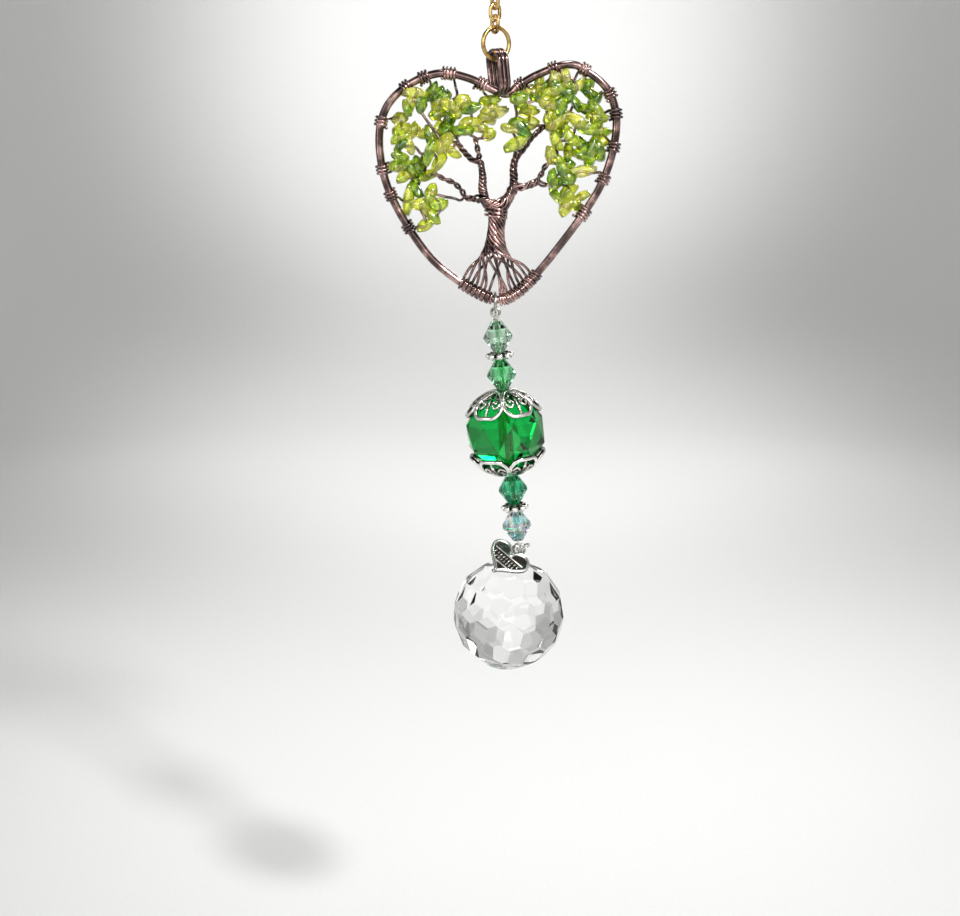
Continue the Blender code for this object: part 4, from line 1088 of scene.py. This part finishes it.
def peridot_finish():
    """Green stone with darker clouds and painted pale yellow highlights, each stone in a shade of its own."""
    finish, tree, shader = new_finish(
        "peridot", Transmission_Weight=0.78, IOR=1.6, Coat_Weight=1.0, Coat_Roughness=0.03
    )
    clouds_and_painted_glints = ranged(tree, grain(tree, 640, 3.0, 0.6), -1.28, 1.96)
    shade = added(tree, noted(tree, "tint"), 0.62, clouds_and_painted_glints, 0.5)
    # The pale yellow stops at the top paint highlights inside the stones. The greens below are the stone's
    # own shades.
    colour = stepped(tree, shade, [
        (0.0, (0.03, 0.17, 0.003)), (0.22, (0.26, 0.56, 0.01)), (0.42, (0.70, 0.90, 0.03)),
        (0.66, (1.0, 1.0, 0.07)), (1.0, (1.0, 1.0, 0.45)),
    ])
    tree.links.new(colour, shader.inputs["Base Color"])
    tree.links.new(ranged(tree, grain(tree, 900), 0.02, 0.22), shader.inputs["Roughness"])
    dented(tree, shader, grain(tree, 620, 2.0), 0.55, 0.0004)
    return finish


def make_finishes():
    return {
        "brass": metal(
            "antique_brass",
            [(0.30, (0.20, 0.105, 0.03)), (0.46, (0.58, 0.36, 0.11)), (0.68, (0.85, 0.62, 0.26))],
            (0.16, 0.42), 420, 0.00008,
        ),
        "copper": metal(
            "antique_copper",
            [(0.36, (0.035, 0.018, 0.016)), (0.50, (0.15, 0.082, 0.074)), (0.70, (0.78, 0.50, 0.46))],
            (0.12, 0.30), 240, 0.00003, Coat_Weight=1.0, Coat_Roughness=0.10,
        ),
        "silver": metal(
            "antique_silver",
            [(0.30, (0.10, 0.095, 0.08)), (0.46, (0.48, 0.47, 0.43)), (0.62, (0.85, 0.84, 0.80))],
            (0.14, 0.42), 560, 0.0001,
        ),
        "pale": glass("pale_green_glass", (0.66, 0.93, 0.72)),
        "mid": glass("mid_green_glass", (0.28, 0.86, 0.42)),
        "dark": glass("dark_green_glass", (0.06, 0.55, 0.27)),
        "rainbow": rainbow_glass(),
        "carved": carved_silver(),
        "emerald": glass("emerald_glass", (0.002, 0.50, 0.075)),
        "crystal": glass("clear_crystal", (0.985, 0.99, 0.99)),
        "peridot": peridot_finish(),
    }


# Studio

def make_camera():
    lens = bpy.data.cameras.new("camera")
    lens.lens = CAMERA_LENS
    lens.sensor_width = 36
    lens.clip_start = 0.01
    lens.clip_end = 50
    camera = new_object("camera", lens)
    back = Vector((0, -math.cos(CAMERA_PITCH), math.sin(CAMERA_PITCH)))
    camera.location = LOOK_AT + back * CAMERA_DISTANCE
    camera.rotation_euler = (-back).to_track_quat("-Z", "Y").to_euler()
    bpy.context.scene.camera = camera


def hung_lamp(light, place, aim):
    lamp = new_object(light.name, light)
    lamp.location = place
    lamp.rotation_euler = (Vector(aim) - Vector(place)).to_track_quat("-Z", "Y").to_euler()


def soft_light(name, place, aim, width, height, power):
    light = bpy.data.lights.new(name, "AREA")
    light.shape = "RECTANGLE"
    light.size, light.size_y = width, height
    light.energy = power
    hung_lamp(light, place, aim)


def make_floor():
    """A pale paper floor well below the ornament, swept up into a round wall."""
    form = bmesh.new()
    profile = [(0.0, 0.0), (FLOOR_REACH, 0.0)]
    for step in range(1, BEND_STEPS + 1):
        turn = math.pi / 2 * step / BEND_STEPS
        profile.append((FLOOR_REACH + FLOOR_BEND * math.sin(turn), FLOOR_BEND * (1 - math.cos(turn))))
    profile.append((FLOOR_REACH + FLOOR_BEND, WALL_HEIGHT))
    corners = [form.verts.new((reach, 0, rise - FLOOR_DROP)) for reach, rise in profile]
    sides = [form.edges.new(pair) for pair in zip(corners, corners[1:])]
    bmesh.ops.spin(form, geom=corners + sides, axis=(0, 0, 1), steps=96, angle=2 * math.pi, use_merge=True)
    bmesh.ops.remove_doubles(form, verts=form.verts, dist=0.0001)
    bmesh.ops.recalc_face_normals(form, faces=form.faces)
    floor = new_object("floor", finished_mesh(form))
    finish, tree, shader = new_finish("floor_paper", Roughness=0.95)
    shades = [(0.3, (0.670, 0.672, 0.664)), (0.7, (0.690, 0.692, 0.684))]
    colour = stepped(tree, grain(tree, 700, 2.0), shades)
    tree.links.new(colour, shader.inputs["Base Color"])
    floor.data.materials.append(finish)


def make_world():
    world = bpy.data.worlds.new("studio")
    world.use_nodes = True
    world.node_tree.nodes["Background"].inputs["Color"].default_value = (0.155, 0.155, 0.153, 1)
    bpy.context.scene.world = world


def pool_light(name, place, aim, cone, power):
    """A lamp with a soft edge that makes a pool of light on the paper."""
    light = bpy.data.lights.new(name, "SPOT")
    light.spot_size = math.radians(cone)
    light.spot_blend = 1.0
    light.shadow_soft_size = 0.12
    light.energy = power
    hung_lamp(light, place, aim)


def make_studio():
    make_camera()
    make_floor()
    make_world()
    soft_light("key", (0.40, -0.48, 0.42), (0, 0, -0.09), 0.09, 0.09, 6.0)
    soft_light("fill", (-0.6, -0.4, 0.1), (0, 0, -0.1), 0.12, 0.5, 1.1)
    soft_light("front", (0.1, -0.8, 0.22), (0, 0, -0.1), 0.7, 0.5, 2.7)
    soft_light("back", (0.35, 0.55, 0.35), (0, 0, -0.08), 0.12, 0.3, 1.6)
    pool_light("near_pool", (0, 0.05, 0.9), (0, 0.24, -0.3), 33, 30.0)
    pool_light("far_pool", (0, 0.2, 0.95), (0, 0.74, -0.26), 32, 55.0)
    pool_light("wall_pool", (0, 0.1, 0.9), (0, 1.25, 0.06), 33, 86.0)
    bpy.context.scene.view_settings.view_transform = "Standard"


def make_chain(brass):
    upright_ring("top_ring", "hanging_ring", 11 * MM, 11 * MM, RING_GAUGE, RING_TURN, brass, "brass")
    for number in range(1, LINK_COUNT + 1):
        turn = RING_TURN + math.pi / 2 * (number % 2)
        node = f"chain_link_{number}"
        upright_ring(f"link_{number}", node, 3.6 * MM, 5.0 * MM, LINK_GAUGE, turn, brass, "brass")
    upright_ring("lower_ring", "brass_ring", 9 * MM, 9 * MM, BRASS_RING_GAUGE, RING_TURN, brass, "brass")


def make_beads(finishes):
    for number, ((x, z), tint) in enumerate(zip(BICONES, ("pale", "mid", "dark", "rainbow")), 1):
        mesh = placed(bicone_mesh(), on_pin(Vector((x, 0, z)) * MM))
        add_piece(f"bicone_bead_{number}", mesh, finishes[tint], f"{tint}_glass", f"bicone_{number}")
    for number, (x, z) in enumerate(SPACERS, 1):
        mesh = placed(spacer_mesh(), on_pin(Vector((x, 0, z)) * MM))
        add_piece(f"spacer_ring_{number}", mesh, finishes["carved"], "silver", f"spacer_{number}")
    place = on_pin(GREEN_BEAD)
    bead = placed(green_bead_mesh(), place)
    add_piece("emerald_bead", bead, finishes["emerald"], "emerald_glass", "green_bead")
    for end, turn in (("top", 0), ("bottom", math.pi)):
        mesh = placed(cap_mesh(), place @ Matrix.Rotation(turn, 4, "X"))
        add_piece(f"filigree_{end}", mesh, finishes["carved"], "silver", f"bead_cap_{end}")


def main():
    make_studio()
    finishes = make_finishes()
    line = FrameLine()
    make_chain(finishes["brass"])
    make_bail(finishes["copper"])
    hoop = drawn_wire([line.line], FRAME_GAUGE, closed=True, sides=16)
    add_piece("frame_wire", hoop, finishes["copper"], "copper", "heart_frame")
    make_tree(line, finishes["copper"])
    make_stones(finishes["peridot"])
    upright_ring("tip_ring", "tip_link", 6 * MM, 6 * MM, 0.8 * MM, math.pi / 2, finishes["silver"], "silver")
    make_pin(finishes["silver"])
    make_beads(finishes)
    make_ball(finishes["crystal"], finishes["silver"])
    make_charm(finishes["carved"], finishes["silver"])


main()
